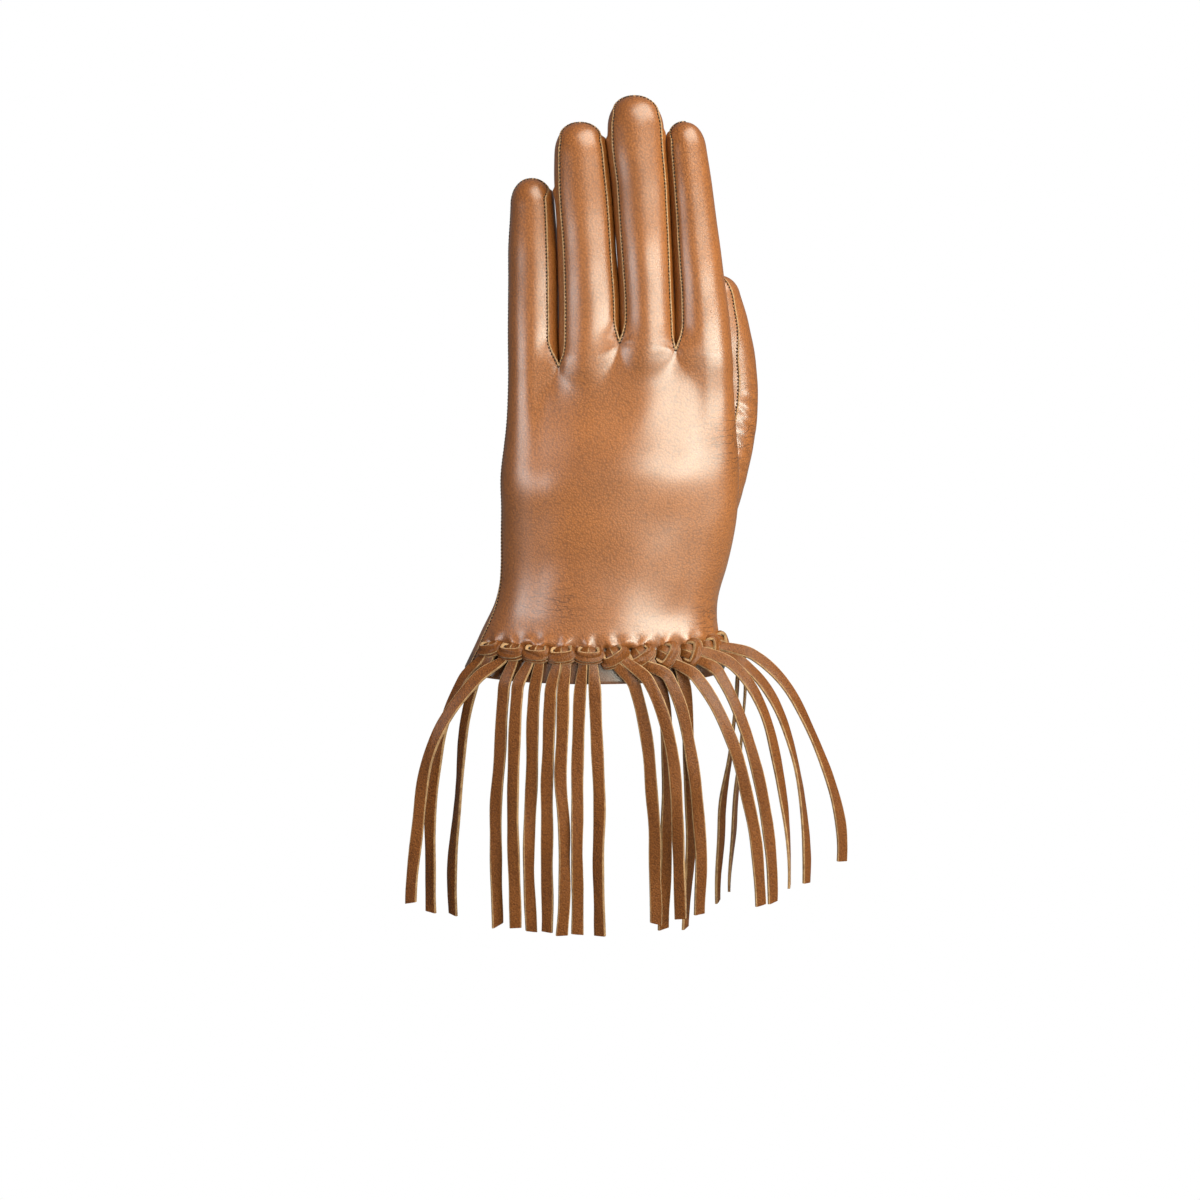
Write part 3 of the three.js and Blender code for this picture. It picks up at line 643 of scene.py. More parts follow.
# %% Gussets that touch, and the finished skin
TOUCH = 0.06
CLOSE_GAP, CLOSE_FADE = 1.1, 0.4
# The inside of the leather follows this share of the folds.
INSIDE_SHARE = 0.6


def fill_gaps(push):
    """Lets the gussets bulge until neighbouring fingers touch, as far up as they stand close."""
    for gap in range(len(CROTCHES)):
        for index, side in ((gap, 1), (gap + 1, -1)):
            grid = net_grids["gusset", index, side]
            z = net[grid, 2]
            x, _, wide, _ = finger_section(gap, z)
            next_x, _, next_wide, _ = finger_section(gap + 1, z)
            half = ((next_x - next_wide) - (x + wide)) / 2
            parted = parting(z - mix(CROTCHES[gap][-1], CROTCHES[gap][1], GUSSET_SHARES))
            bulge = np.exp(-(((GUSSET_SHARES - 0.5) / 0.33) ** 4))
            push[grid] += (half + TOUCH) * parted * bulge * ease((CLOSE_GAP - half) / CLOSE_FADE)


net_push = knot_pull(net) + crotch_pull(net) + ripples(net, **HAND_RIPPLES)
fill_gaps(net_push)
skin_out = net + net_out * net_push[:, None]
skin_in = net + net_out * (INSIDE_SHARE * net_push - LEATHER)[:, None]
print("deepest pull:", round(float(net_push.min()), 2), "mm")


# %% [markdown]
# The thumb of a dress glove is a separate tube, sewn into a hole in the palm's edge. Each of its
# columns of points starts where it leaves the hand's skin, which a search on the skin's own faces
# finds, so that the tube's root follows the hand exactly and no hidden tangle is left inside. A Boolean
# union would join the two as well, but would leave ragged small faces along the root.

# %% Shape of the thumb
THUMB_COLUMNS = 72
THUMB_ROWS = 84
THUMB_SEARCH_TOP = 100
HALVINGS = 10


def thumb_axis(z):
    """Points in the middle of the thumb."""
    return np.stack([column(THUMB, "x", z), column(THUMB, "y", z), z], axis=-1)


def thumb_point(turn, z, rise=0.0):
    """Points of the thumb. turn is 0 at +X and a quarter turn at the back. rise runs up its dome."""
    z = np.asarray(z, float)
    top = THUMB["z"][-1]
    ahead = thumb_axis(np.minimum(z + 0.5, top))
    forward = unit(ahead - thumb_axis(np.minimum(z + 0.5, top) - 1))
    across = unit(np.cross(np.array([0.0, 1.0, 0.0]), forward))
    back = np.cross(across, forward)
    round_share = (1 - np.asarray(rise, float) ** TIP_POWER) ** (1 / TIP_POWER)
    wide = round_share * column(THUMB, "wide", z) * np.cos(turn)
    deep = round_share * column(THUMB, "deep", z) * np.sin(turn)
    centre = thumb_axis(z) + forward * (np.asarray(rise) * THUMB_DOME)[..., None]
    return centre + across * wide[..., None] + back * deep[..., None]


def signed_height(tree, point):
    """How far a point lies outside a closed skin. It is negative inside."""
    spot, normal = tree.find_nearest(Vector(point))[:2]
    return (Vector(point) - spot).dot(normal)


def without_doubles(quads):
    """Faces as lists of corners, with a corner that stands twice in a face named once."""
    return [list(dict.fromkeys(face)) for face in quads.tolist()]


def fine_tree(points, quads):
    """A search tree over a skin's faces."""
    return BVHTree.FromPolygons([Vector(point) for point in points], without_doubles(quads))


hand_tree = fine_tree(skin_out, net_quads)
thumb_turns = 2 * PI * np.arange(THUMB_COLUMNS) / THUMB_COLUMNS


def leaving_height(turn):
    """Height at which one column of the thumb comes out of the hand."""
    inside = THUMB["z"][0]
    for z in np.arange(THUMB["z"][0], THUMB_SEARCH_TOP, 1.0):
        if signed_height(hand_tree, thumb_point(turn, z)) < 0:
            inside = z
    low, high = inside, inside + 1
    for k in range(HALVINGS):
        middle = (low + high) / 2
        if signed_height(hand_tree, thumb_point(turn, middle)) < 0:
            low = middle
        else:
            high = middle
    return high


thumb_roots = np.array([leaving_height(turn) for turn in thumb_turns])
print("the thumb leaves the hand from z =", thumb_roots.min().round(1), "to", thumb_roots.max().round(1))


# %% [markdown]
# Rows of points now run from the root to a round tip. Where the thumb bends, the leather of the root
# gathers into short slanting creases, each with a soft ridge beside it. A table gives their places.

# %% Skin of the thumb
ROW_CROWDING = 1.1
DOME_ROWS = 14
THUMB_CREASES = table(
    "z turn length tilt depth",
    (73, 40, 7.0, 24, 0.44),
    (78, 34, 6.0, 30, 0.36),
    (82, 52, 7.0, 22, 0.56),
    (86, 38, 6.5, 26, 0.40),
    (91, 50, 6.0, 30, 0.44),
    (95, 34, 5.0, 24, 0.24),
    (66, 20, 7.0, 18, 0.176),
    (60, 60, 7.0, 12, 0.144),
    (88, -60, 8.0, -8, 0.28),
    (96, -80, 8.0, 6, 0.24),
    (110, -70, 7.0, 0, 0.20),
)
CREASE_WIDTH = 0.9
RIDGE_AWAY, RIDGE_WIDTH, RIDGE_SHARE = 1.7, 1.3, 0.6
THUMB_RIPPLES = {"seed": 21, "count": 10, "shortest": 7, "longest": 22, "height": 0.16}

row_share = np.linspace(0, 1, THUMB_ROWS) ** ROW_CROWDING
thumb_z = mix(thumb_roots[None, :], THUMB["z"][-1], row_share[:, None])
dome_rise = np.sin(np.linspace(0, PI / 2, DOME_ROWS)[1:-1]) ** (2 / TIP_POWER)
all_turns = np.broadcast_to(thumb_turns, (THUMB_ROWS, THUMB_COLUMNS))
dome_turns = np.broadcast_to(thumb_turns, (len(dome_rise), THUMB_COLUMNS))
thumb_rows = thumb_point(all_turns, thumb_z)
dome_z = np.full(dome_turns.shape, THUMB["z"][-1])
dome_rows = thumb_point(dome_turns, dome_z, dome_rise[:, None] * np.ones(THUMB_COLUMNS))
thumb_tip = thumb_point(np.zeros(1), THUMB["z"][-1:], np.ones(1))
thumb_grid = np.concatenate([thumb_rows, dome_rows]).reshape(-1, 3)
thumb_net = np.concatenate([thumb_grid, thumb_tip])


def ring_quads(rows, columns):
    """Faces between rows of a closed tube, pointing outwards, with the last row fanned to a point."""
    quads = []
    for row in range(rows - 1):
        for k in range(columns):
            here, there = row * columns, (row + 1) * columns
            after = (k + 1) % columns
            quads.append((here + after, here + k, there + k, there + after))
    top, tip = (rows - 1) * columns, rows * columns
    quads += [(top + (k + 1) % columns, top + k, tip, tip) for k in range(columns)]
    return np.array(quads)


thumb_quads = ring_quads(THUMB_ROWS + len(dome_rise), THUMB_COLUMNS)
thumb_out = corner_normals(thumb_net, thumb_quads)


def thumb_creases(points):
    """Short folds across the thumb's root, each with a soft ridge on its upper side."""
    total = np.zeros(len(points))
    centre = thumb_axis(points[:, 2])
    turn = np.degrees(np.arctan2(centre[:, 1] - points[:, 1], points[:, 0] - centre[:, 0]))
    radius = np.hypot(points[:, 0] - centre[:, 0], points[:, 1] - centre[:, 1])
    for z, angle, length, tilt, depth in zip(*THUMB_CREASES.values()):
        a = np.radians((turn - angle + 180) % 360 - 180) * radius
        b = points[:, 2] - z
        slant = math.radians(tilt)
        p = a * math.cos(slant) + b * math.sin(slant)
        q = b * math.cos(slant) - a * math.sin(slant)
        span = np.exp(-((p / length) ** 4))
        ridge = RIDGE_SHARE * bell((q - RIDGE_AWAY, RIDGE_WIDTH))
        total += depth * span * (ridge - bell((q, CREASE_WIDTH)))
    return total


thumb_push = thumb_creases(thumb_net) + ripples(thumb_net, **THUMB_RIPPLES)
thumb_push[:THUMB_COLUMNS] = 0
thumb_skin = thumb_net + thumb_out * thumb_push[:, None]
thumb_inner = thumb_net - thumb_out * LEATHER
print("thumb faces:", len(thumb_quads))


# %% [markdown]
# Under the thumb the leather of the hand has a hole. Faces whose corners all lie deep inside the
# thumb's tube are left out whole. A Boolean would cut through faces and leave slivers. The edge of
# this hole goes in steps, but they lie inside the thumb, where they can't be seen.

# %% The hole for the thumb
HOLE_MARGIN = 0.5
TUBE_STEP = 2.0

tube_z = np.arange(THUMB["z"][0], THUMB["z"][-1] + TUBE_STEP, TUBE_STEP)
full_rows = np.stack([thumb_point(thumb_turns, np.full(THUMB_COLUMNS, z)) for z in tube_z])
tube_quads = ring_quads(len(full_rows), THUMB_COLUMNS)
tube_tree = fine_tree(np.concatenate([full_rows.reshape(-1, 3), thumb_tip]), tube_quads)
tube_low, tube_high = full_rows.min((0, 1)), full_rows.max((0, 1))
in_hole = np.zeros(len(net), bool)
near_tube = ((net > tube_low) & (net < tube_high)).all(axis=1) & (net[:, 2] < THUMB_SEARCH_TOP)
for k in np.flatnonzero(near_tube):
    in_hole[k] = signed_height(tube_tree, net[k]) < -LEATHER - HOLE_MARGIN
net_owners[in_hole[net_quads].all(axis=1)] = "thumb_hole"
print("faces left out for the thumb:", int((net_owners == "thumb_hole").sum()))


# %% [markdown]
# A sheet of leather becomes a closed wall: its outside, its inside, and a rim that joins them. The
# hem is turned, so its rim is round. The same rim closes the edge of the hole for the thumb. The
# Solidify modifier makes walls as well, but it neither rounds the hem nor says which faces are
# grain side, flesh side and cut edge.

# %% Walls
# Neighbouring pattern pieces draw back this far from their seam, so that they don't share a place.
SEAM_SHIFT = 0.1
HEM_TURNS = (PI / 4, PI / 2, 3 * PI / 4)
NAPPA, FLESH, EDGE = 0, 1, 2


def close_wall(outer, inner, faces, hem):
    """Points, faces and material numbers of a wall. hem marks the corners with a turned edge."""
    count = len(outer)
    edges = {(a, b) for face in faces for a, b in zip(face, face[1:] + face[:1])}
    border = sorted((a, b) for a, b in edges if (b, a) not in edges)
    points = [*outer, *inner]
    rims = {}
    for a in sorted({a for edge in border for a in edge}):
        rims[a] = [a]
        if hem[a]:
            middle, reach = (outer[a] + inner[a]) / 2, (outer[a] - inner[a]) / 2
            down = np.array([0, 0, -np.linalg.norm(reach)])
            for turn in HEM_TURNS:
                rims[a].append(len(points))
                points.append(middle + reach * math.cos(turn) + down * math.sin(turn))
        rims[a].append(count + a)
    walls = [*faces, *([count + a for a in reversed(face)] for face in faces)]
    kinds = [NAPPA] * len(faces) + [FLESH] * len(faces)
    for a, b in border:
        for step in range(len(rims[a]) - 1):
            walls.append([rims[b][step], rims[a][step], rims[a][step + 1], rims[b][step + 1]])
            kinds.append(NAPPA if hem[a] else EDGE)
    return np.array(points), walls, kinds


def wall_of(owner):
    """The closed wall of one pattern piece, cut out of the net."""
    own = net_quads[net_owners == owner]
    corners = np.unique(own)
    place = np.full(len(net), -1)
    place[corners] = np.arange(len(corners))
    shift = np.zeros_like(net)
    centre = net[own].mean(axis=1)
    for k in range(4):
        np.add.at(shift, own[:, k], centre - net[own[:, k]])
    shift -= net_out * (shift * net_out).sum(axis=1, keepdims=True)
    others = np.unique(net_quads[(net_owners != owner) & (net_owners != "thumb_hole")])
    sewn = np.zeros(len(net), bool)
    sewn[others] = True
    move = unit(shift) * (SEAM_SHIFT * sewn)[:, None]
    faces = without_doubles(place[own])
    return close_wall((skin_out + move)[corners], (skin_in + move)[corners], faces, on_hem[corners])


trank_wall = wall_of("trank")
print("corners and faces of the trank's wall:", len(trank_wall[0]), len(trank_wall[1]))


# %% [markdown]
# Points and faces become Blender meshes here, in metres and at the origin. Smooth shading is right for
# leather, but the corners of a cut edge have to stay sharp.

# %% Meshes of the walls
def mesh_from(name, points, faces, kinds, sharp=45):
    """A smooth-shaded mesh in metres, with its sharp edges kept."""
    mesh = bpy.data.meshes.new(name)
    mesh.from_pydata((np.asarray(points) * MM).tolist(), [], faces)
    mesh.polygons.foreach_set("material_index", np.array(kinds, np.int32))
    mesh.shade_smooth()
    mesh.set_sharp_from_angle(angle=math.radians(sharp))
    mesh.update()
    return mesh


def add_object(name, mesh, materials):
    """An object in the scene with its materials."""
    made = bpy.data.objects.new(name, mesh)
    bpy.context.scene.collection.objects.link(made)
    for material in materials:
        mesh.materials.append(material)
    return made


wall_meshes = {"trank": mesh_from("trank_wall", *trank_wall)}
for crotch in CROTCHES:
    owner = "fourchette_" + crotch["name"]
    wall_meshes[owner] = mesh_from(owner + "_wall", *wall_of(owner))
no_hem = np.zeros(len(thumb_net), bool)
thumb_wall = close_wall(thumb_skin, thumb_inner, without_doubles(thumb_quads), no_hem)
wall_meshes["thumb"] = mesh_from("thumb_wall", *thumb_wall)
print("wall faces:", {name: len(mesh.polygons) for name, mesh in wall_meshes.items()})


# %% [markdown]
# The fringe: each lace is a flat strip cut from leather, so it has a smooth grain side, a suede
# flesh side and pale cut edges. A strip is swept along its path with its flat side turned as
# it falls. Sweeping a small profile by hand, and not with a bevelled curve, keeps control of that turn
# and lets every face know which side of the strip it is.

# %% The lace strip
STRIP_WIDTH = 4.4
STRIP_THICKNESS = 1.1
GRAIN_SIDE, CUT_EDGE, FLESH_SIDE = 0, 1, 2
GRAIN_POINTS = np.linspace(-0.84, 0.84, 9)
# The strip's section, as shares of its half width and half thickness.
PROFILE = table(
    "across lift kind",
    *((across, 1.1 - 0.1 * across**2, GRAIN_SIDE) for across in GRAIN_POINTS[:-1]),
    (0.84, 1.03, CUT_EDGE), (0.99, 0.45, CUT_EDGE), (1.00, -0.85, CUT_EDGE),
    (0.93, -1.00, FLESH_SIDE), (0.45, -1.00, FLESH_SIDE),
    (0.00, -1.00, FLESH_SIDE), (-0.45, -1.00, FLESH_SIDE),
    (-0.93, -1.00, CUT_EDGE), (-1.00, -0.85, CUT_EDGE), (-0.99, 0.45, CUT_EDGE),
)
CRUMPLE_WAVES = 4


def even_path(points, step):
    """A smooth curve through points, cut into even steps, with each step's share of the length."""
    points = np.asarray(points, float)
    marks = np.concatenate([[0], np.cumsum(np.linalg.norm(np.diff(points, axis=0), axis=1))])
    fine = spline(marks, points, np.linspace(0, marks[-1], 12 * len(points) + 200))
    lengths = np.concatenate([[0], np.cumsum(np.linalg.norm(np.diff(fine, axis=0), axis=1))])
    count = max(int(lengths[-1] / step), 4)
    places = np.linspace(0, lengths[-1], count + 1)
    even = np.stack([np.interp(places, lengths, fine[:, k]) for k in range(3)], axis=1)
    return even, places / lengths[-1]


def crumpled(path, seed):
    """Small folds along a strip, for each step of its path and each point of its section."""
    random = np.random.default_rng(seed)
    along = np.arange(len(path))[:, None] * np.linalg.norm(path[1] - path[0])
    folds = np.zeros((len(path), len(PROFILE["across"])))
    for k in range(CRUMPLE_WAVES):
        wave, drift = 3.0 + 2.2 * random.random(), random.normal() * 0.45
        folds += np.sin(PROFILE["across"] * wave + along * drift + random.random() * 2 * PI)
    return folds * (PROFILE["lift"] > 0)


def sweep(path, flat, widths, thickness, slant=0.0, crumple=0.0, seed=0):
    """A closed strip along a path. flat is its grain side's direction at each step.

    slant makes its end cut oblique, and crumple is the height of its small folds.
    """
    forward = unit(np.gradient(path, axis=0))
    flat = unit(flat - forward * (flat * forward).sum(axis=1, keepdims=True))
    across = np.cross(flat, forward)
    u = PROFILE["across"][None, :, None] * (np.asarray(widths) / 2)[:, None, None]
    v = PROFILE["lift"][None, :, None] * thickness / 2
    rings = path[:, None] + across[:, None] * u + flat[:, None] * v
    rings += flat[:, None] * (crumple * crumpled(path, seed))[..., None]
    rings[-1] += forward[-1] * PROFILE["across"][:, None] * slant
    sides, count = len(PROFILE["across"]), len(path)
    faces, kinds = [], []
    for row in range(count - 1):
        for k in range(sides):
            after = (k + 1) % sides
            here, there = row * sides, (row + 1) * sides
            faces.append([here + k, there + k, there + after, here + after])
            kinds.append(int(PROFILE["kind"][k]))
    faces += [list(range(sides)), [(count - 1) * sides + k for k in reversed(range(sides))]]
    kinds += [CUT_EDGE, CUT_EDGE]
    return rings.reshape(-1, 3), faces, kinds


def join_parts(parts):
    """Several sets of points, faces and kinds as one."""
    points, faces, kinds, start = [], [], [], 0
    for some_points, some_faces, some_kinds in parts:
        points.append(some_points)
        faces += [[start + k for k in face] for face in some_faces]
        kinds += some_kinds
        start += len(some_points)
    return np.concatenate(points), faces, kinds


print("points across one strip:", len(PROFILE["across"]))


# %% [markdown]
# Each knot is a hitch: a band lies across the two ends and dives through the slots at both sides,
# where the strip curls and shows its cut edge. On the thumb's half of the cuff the hitches have turned,
# so that their ends leave sideways and then droop. One table holds half of the band, in the knot's
# own directions, and one number turns each knot.

# %% Knots
# Degrees by which each knot has turned, from the little finger's side to the thumb's side.
KNOT_TURNS = (14, 4, 0, 6, -2, 32, 36, 58, 66, 70, 52)
BAND = table(
    "e f n width lean_e lean_f",
    (2.9, 2.9, -1.3, 2.2, 0.30, 0.70),
    (3.9, 2.2, 0.8, 2.5, 0.80, 0.45),
    (4.1, 0.7, 1.9, 3.1, 0.62, 0.10),
    (2.4, -0.2, 2.6, 3.6, 0.20, 0.00),
    (0.0, -0.4, 2.8, 3.7, 0.00, 0.00),
)
UNDER_BAND = {"wider": 1.07, "lower": 0.85, "deeper": 0.75, "thickness": 0.9}
BAND_THICKNESS = 1.0
BAND_STEP = 0.35
BAND_CRUMPLE = 0.11
# A turned knot has slipped by up to this much towards its hanging ends.
TURNED_SHIFT = 1.2


def knot_axes(number):
    """The band's own axis, the direction from the hanging ends to the slots, and the way out."""
    knot = KNOTS[number]
    turn = math.radians(KNOT_TURNS[number])
    e = knot["along"] * math.cos(turn) + knot["up"] * math.sin(turn)
    f = knot["up"] * math.cos(turn) - knot["along"] * math.sin(turn)
    return e, f, knot["out"]


def knot_band(number, wider=1.0, lower=0.0, deeper=0.0, thickness=BAND_THICKNESS):
    """One layer of the band of a knot."""
    e, f, n = knot_axes(number)
    signs = np.concatenate([-np.ones(len(BAND["e"])), np.ones(len(BAND["e"]) - 1)])
    order = np.concatenate([np.arange(len(BAND["e"])), np.arange(len(BAND["e"]) - 1)[::-1]])
    rows = {name: values[order] for name, values in BAND.items()}
    sides = signs * rows["e"] * wider
    lower = lower + TURNED_SHIFT * abs(math.sin(math.radians(KNOT_TURNS[number])))
    points = KNOTS[number]["at"] + sides[:, None] * e
    points = points + (rows["f"] - lower)[:, None] * f + (rows["n"] - deeper)[:, None] * n
    path, share = even_path(points, BAND_STEP)
    marks = np.linspace(0, 1, len(order))
    lean = spline(marks, np.stack([signs * rows["lean_e"], rows["lean_f"]], axis=1), share)
    rest = np.sqrt(np.maximum(1 - (lean**2).sum(axis=1), 0.1))
    flat = lean[:, :1] * e + lean[:, 1:] * f + rest[:, None] * n
    widths = spline(marks, rows["width"], share)
    return sweep(path, flat, widths, thickness, crumple=BAND_CRUMPLE, seed=number)


print("faces of one band:", len(knot_band(0)[1]))


# %% [markdown]
# The hanging ends keep the routes of the solids: each leaves its knot in its own direction and ends
# plumb. A route is a cubic curve, and its end is raised or lowered until the curve is exactly as long
# as the strip, whatever its bends.

# %% Routes of the hanging ends
STRAND_LENGTH = 104
LOOP_OUTSIDE = 2.2
STRAND_OFFSET = 1.5
FITTING_STEPS = 24
CURVE_STEPS = 200
STRANDS = table(
    "lace kick_x kick_y kick_z end_x end_y drop face",
    (1, -22, -3, -22, -63, -20, 38, -20),
    (1, -12, -1, -14, -55, -15, 41, -50),
    (2, -25, -6, -18, -69, -26, 50, -15),
    (2, -5, -5, 2, -39, -24, 42, 20),
    (3, -9, -4, 3, -32, -28, 23, -10),
    (3, -4, -3, -16, -26.5, -27, 35, 25),
    (4, -4, -4, 2, -20.5, -29, 30, -15),
    (4, -2, -4, -4, -14.5, -31, 40, 20),
    (5, -3, -4, -14, -9.5, -30, 41, 15),
    (5, 1, -4, -7, -1.5, -31, 44, -20),
    (6, 14, -4, -3, 18.5, -30, 44, 10),
    (6, 20, -9, -5, 27, -33.5, 44, -10),
    (7, 22, -4, -1, 34.5, -30, 30, 15),
    (7, 12, -2, -12, 21.5, -27, 44, 35),
    (8, 23, -7, -5, 56, -30, 32, 20),
    (8, 10, -2, -7, 30, -25, 34, 50),
    (9, 12, -5, 5, 61, -24, 48, 30),
    (9, 24, -4, 2, 67, -18, 46, 70),
    (10, 24, -4, -3, 74, -14, 50, 60),
    (10, 24, -3, 6, 87, -11, 38, 40),
    (11, 13, 0, 4, 42, -4, 50, 60),
    (11, 16, 2, 6, 47, 1, 50, 80),
)


def hanging_curve(knot, side, row):
    """Fine points of a cubic curve whose end is lifted or lowered until it has the strip's length."""
    start = knot["at"] + knot["out"] * (LOOP_OUTSIDE - STRIP_THICKNESS / 2)
    start = start + knot["along"] * side * STRAND_OFFSET
    kick = start + np.array([STRANDS[name][row] for name in ("kick_x", "kick_y", "kick_z")])
    t = np.linspace(0, 1, CURVE_STEPS + 1)[:, None]
    low, high = -STRAND_LENGTH, 0
    for step in range(FITTING_STEPS):
        end_z = (low + high) / 2
        end = np.array([STRANDS["end_x"][row], STRANDS["end_y"][row], end_z])
        above = end + np.array([0, 0, STRANDS["drop"][row]])
        curve = (1 - t) ** 3 * start + 3 * (1 - t) ** 2 * t * kick
        curve = curve + 3 * (1 - t) * t**2 * above + t**3 * end
        if np.linalg.norm(np.diff(curve, axis=0), axis=1).sum() > STRAND_LENGTH:
            low = end_z
        else:
            high = end_z
    return curve


first_curve = hanging_curve(KNOTS[0], -1, 0)
print("the first end hangs down to z =", round(float(first_curve[-1, 2]), 1))


# %% [markdown]
# Each strip comes out of its slot, passes under the band and joins its route. Small random waves and
# twists make the leather limp. The random numbers have fixed seeds, so every run hangs the fringe the
# same way. A cloth simulation of 22 thin strips would be slow and hard to steer.

# %% Hanging ends
# The way of each end from its slot to under the band, in the knot's own directions.
LEG = table("e f n", (1.0, 3.0, -1.2), (1.15, 2.4, 0.7), (1.35, 1.0, 1.5), (1.65, -1.8, 1.75))
# From here on an end follows its route, through a point at each stop.
JOIN_FROM, STOP_STEP = 12.0, 5.0
STRAND_STEP = 1.3
# Waves of a strip: the length of each one and its height.
STRAND_WAVES = ((70, 0.45), (31, 0.15))
TWIST = 0.22
INNER_EDGE_LIFT = 0.45
# Under its band a strip is folded to this share of its width, and it opens over this length.
FOLDED_SHARE, OPENING_LENGTH = 0.66, 14
WIDTH_CHANGE = 0.03
CUT_SLANT = 0.35
END_THICKNESS = 0.95
END_CRUMPLE = 0.018


def hanging_end(number, side, row):
    """One hanging end, from its slot, under the knot's band and down to its cut tip."""
    random = np.random.default_rng(100 + row)
    knot = KNOTS[number]
    e, f, n = knot_axes(number)
    curve = hanging_curve(knot, side, row)
    lengths = np.concatenate([[0], np.cumsum(np.linalg.norm(np.diff(curve, axis=0), axis=1))])
    stops = np.arange(JOIN_FROM, STRAND_LENGTH + 0.1, STOP_STEP)
    below = np.stack([np.interp(stops, lengths, curve[:, k]) for k in range(3)], axis=1)
    leg = side * LEG["e"][:, None] * e + LEG["f"][:, None] * f + LEG["n"][:, None] * n
    path, share = even_path(np.concatenate([knot["at"] + leg, below]), STRAND_STEP)
    freedom = ease(share * 2.5 - 0.3)
    for length, height in STRAND_WAVES:
        wave = np.sin(share * STRAND_LENGTH * 2 * PI / length + random.random() * 2 * PI)
        sway = np.array([random.normal() * 0.8, random.normal(), 0])
        path = path + (wave * freedom * height)[:, None] * sway
    face = math.radians(STRANDS["face"][row])
    last = np.array([math.sin(face), -math.cos(face), 0])
    flat = mix(n, last, ease(share)[:, None])
    turns = mix(0.8, 1.7, random.random())
    roll = np.sin(share * 2 * PI * turns + random.random() * 2 * PI) * freedom * TWIST
    roll = roll - side * INNER_EDGE_LIFT * (1 - ease(share * 6))
    forward = unit(np.gradient(path, axis=0))
    flat = flat * np.cos(roll)[:, None] + np.cross(forward, flat) * np.sin(roll)[:, None]
    narrow = mix(FOLDED_SHARE, 1.0, ease(share * STRAND_LENGTH / OPENING_LENGTH - 0.2))
    widths = STRIP_WIDTH * narrow * (1 + WIDTH_CHANGE * np.sin(share * 31 + row))
    slant = random.normal() * CUT_SLANT
    return sweep(path, flat, widths, END_THICKNESS, slant, END_CRUMPLE, seed=200 + row)


lace_parts = []
for number in range(LACE_COUNT):
    rows = np.flatnonzero(STRANDS["lace"] == number + 1)
    ends = [hanging_end(number, side, row) for side, row in zip((-1, 1), rows)]
    lace_parts.append(join_parts([knot_band(number), knot_band(number, **UNDER_BAND), *ends]))
print("faces of the first lace:", len(lace_parts[0][1]))


# %% [markdown]
# The seams of a dress glove are lapped: the edge of one leather lies on its neighbour as a raised lip,
# with a fine row of stitches beside it. Their lines are the edges of the panels, so they are read off
# the net by its corner numbers. Each line keeps the skin's outward direction at every point.

# %% Seams along the fingers
LIP_LIFT = 0.05
LIP_OFFSET = 0.34
STITCH_INSET = 0.24
STITCH_LIFT = 0.08
# Millimetres by which the colour of the leather reads as pressed in, as painted shade: in a seam,
# beside it, and above the hem, where the knots keep the light away.
SEAM_GROOVE_SHADE = 1.2
BESIDE_SEAM_SHADE = 0.4
HEM_SHADE = 1.3
HEM_SHADE_TOP, HEM_SHADE_FADE = 8.0, 3.0


def on_skin(tree, points):
    """The nearest points of a skin, with its outward directions there."""
    found = [tree.find_nearest(Vector(point)) for point in points]
    return np.array([hit[0] for hit in found]), np.array([hit[1] for hit in found])


def smoothed(values, rounds=3):
    """Values along a line, each averaged with its neighbours a few times."""
    for k in range(rounds):
        middle = (values[:-2] + 2 * values[1:-1] + values[2:]) / 4
        values = np.concatenate([values[:1], middle, values[-1:]])
    return values


lips, rows_of_stitches = [], []
# Painted shade above the hem on the back of the hand, where the knots keep the light away.
seam_shade = -HEM_SHADE * ease((HEM_SHADE_TOP - net[:, 2]) / HEM_SHADE_FADE) * (net[:, 1] < EDGE_Y)


def add_seam(edge, out, inwards):
    """Notes a lip just outside an edge, and its stitches a little way inwards on the skin."""
    inwards = unit(inwards)
    lips.append((edge + out * LIP_LIFT - inwards * LIP_OFFSET, out))
    rows_of_stitches.append((edge + inwards * STITCH_INSET + out * STITCH_LIFT, out))


for index in range(len(FINGERS)):
    for side in (-1, 1):
        if gap_beside(index, side) is None:
            continue
        for face in (-1, 1):
            grid = net_grids["panel", index, face][CROTCH_ROW:, ::-side]
            edge, inner = grid[:, 0], grid[:, 3]
            # Painted shade in the seam and beside it, where little light reaches.
            seam_shade[grid[:, 1]] -= BESIDE_SEAM_SHADE
            seam_shade[edge] = -SEAM_GROOVE_SHADE
            add_seam(skin_out[edge], net_out[edge], smoothed(skin_out[inner] - skin_out[edge]))
print("seams along the fingers:", len(lips))


# %% [markdown]
# Where a gusset comes to its point, its two seams have met, and one seam runs on over the fingertip.
# Its line is the middle of the strip above that point. The two outer fingers have a gusset on one side
# only, so their line stops at the tip.

# %% Seams over the fingertips
TIP_SEAM_STEP = 0.5
DOUBLE_POINT = 0.05

for index in range(len(FINGERS)):
    halves = []
    for side in (-1, 1):
        if gap_beside(index, side) is not None:
            ridge = net_grids["gusset", index, side][POINT_ROW - CROTCH_ROW:, len(GUSSET_SHARES) // 2]
            halves.append(ridge[::-side])
    over = np.concatenate(halves)
    steps = np.linalg.norm(np.diff(net[over], axis=0), axis=1)
    over = over[np.append(True, steps > DOUBLE_POINT)]
    tip_points, tip_out = on_skin(hand_tree, even_path(skin_out[over], TIP_SEAM_STEP)[0])
    add_seam(tip_points, unit(smoothed(tip_out)), np.tile([0.0, -1.0, 0.0], (len(tip_points), 1)))
print("seams so far:", len(lips))


# %% [markdown]
# The side seam closes the trank at the little finger: at the hem it lies a little on the back of the
# hand, as in the photo, and higher up it runs along the very edge. The thumb has a seam of its own,
# which goes over its tip, and another one round its root. Their lines are drawn near the skin
# and then moved onto it.

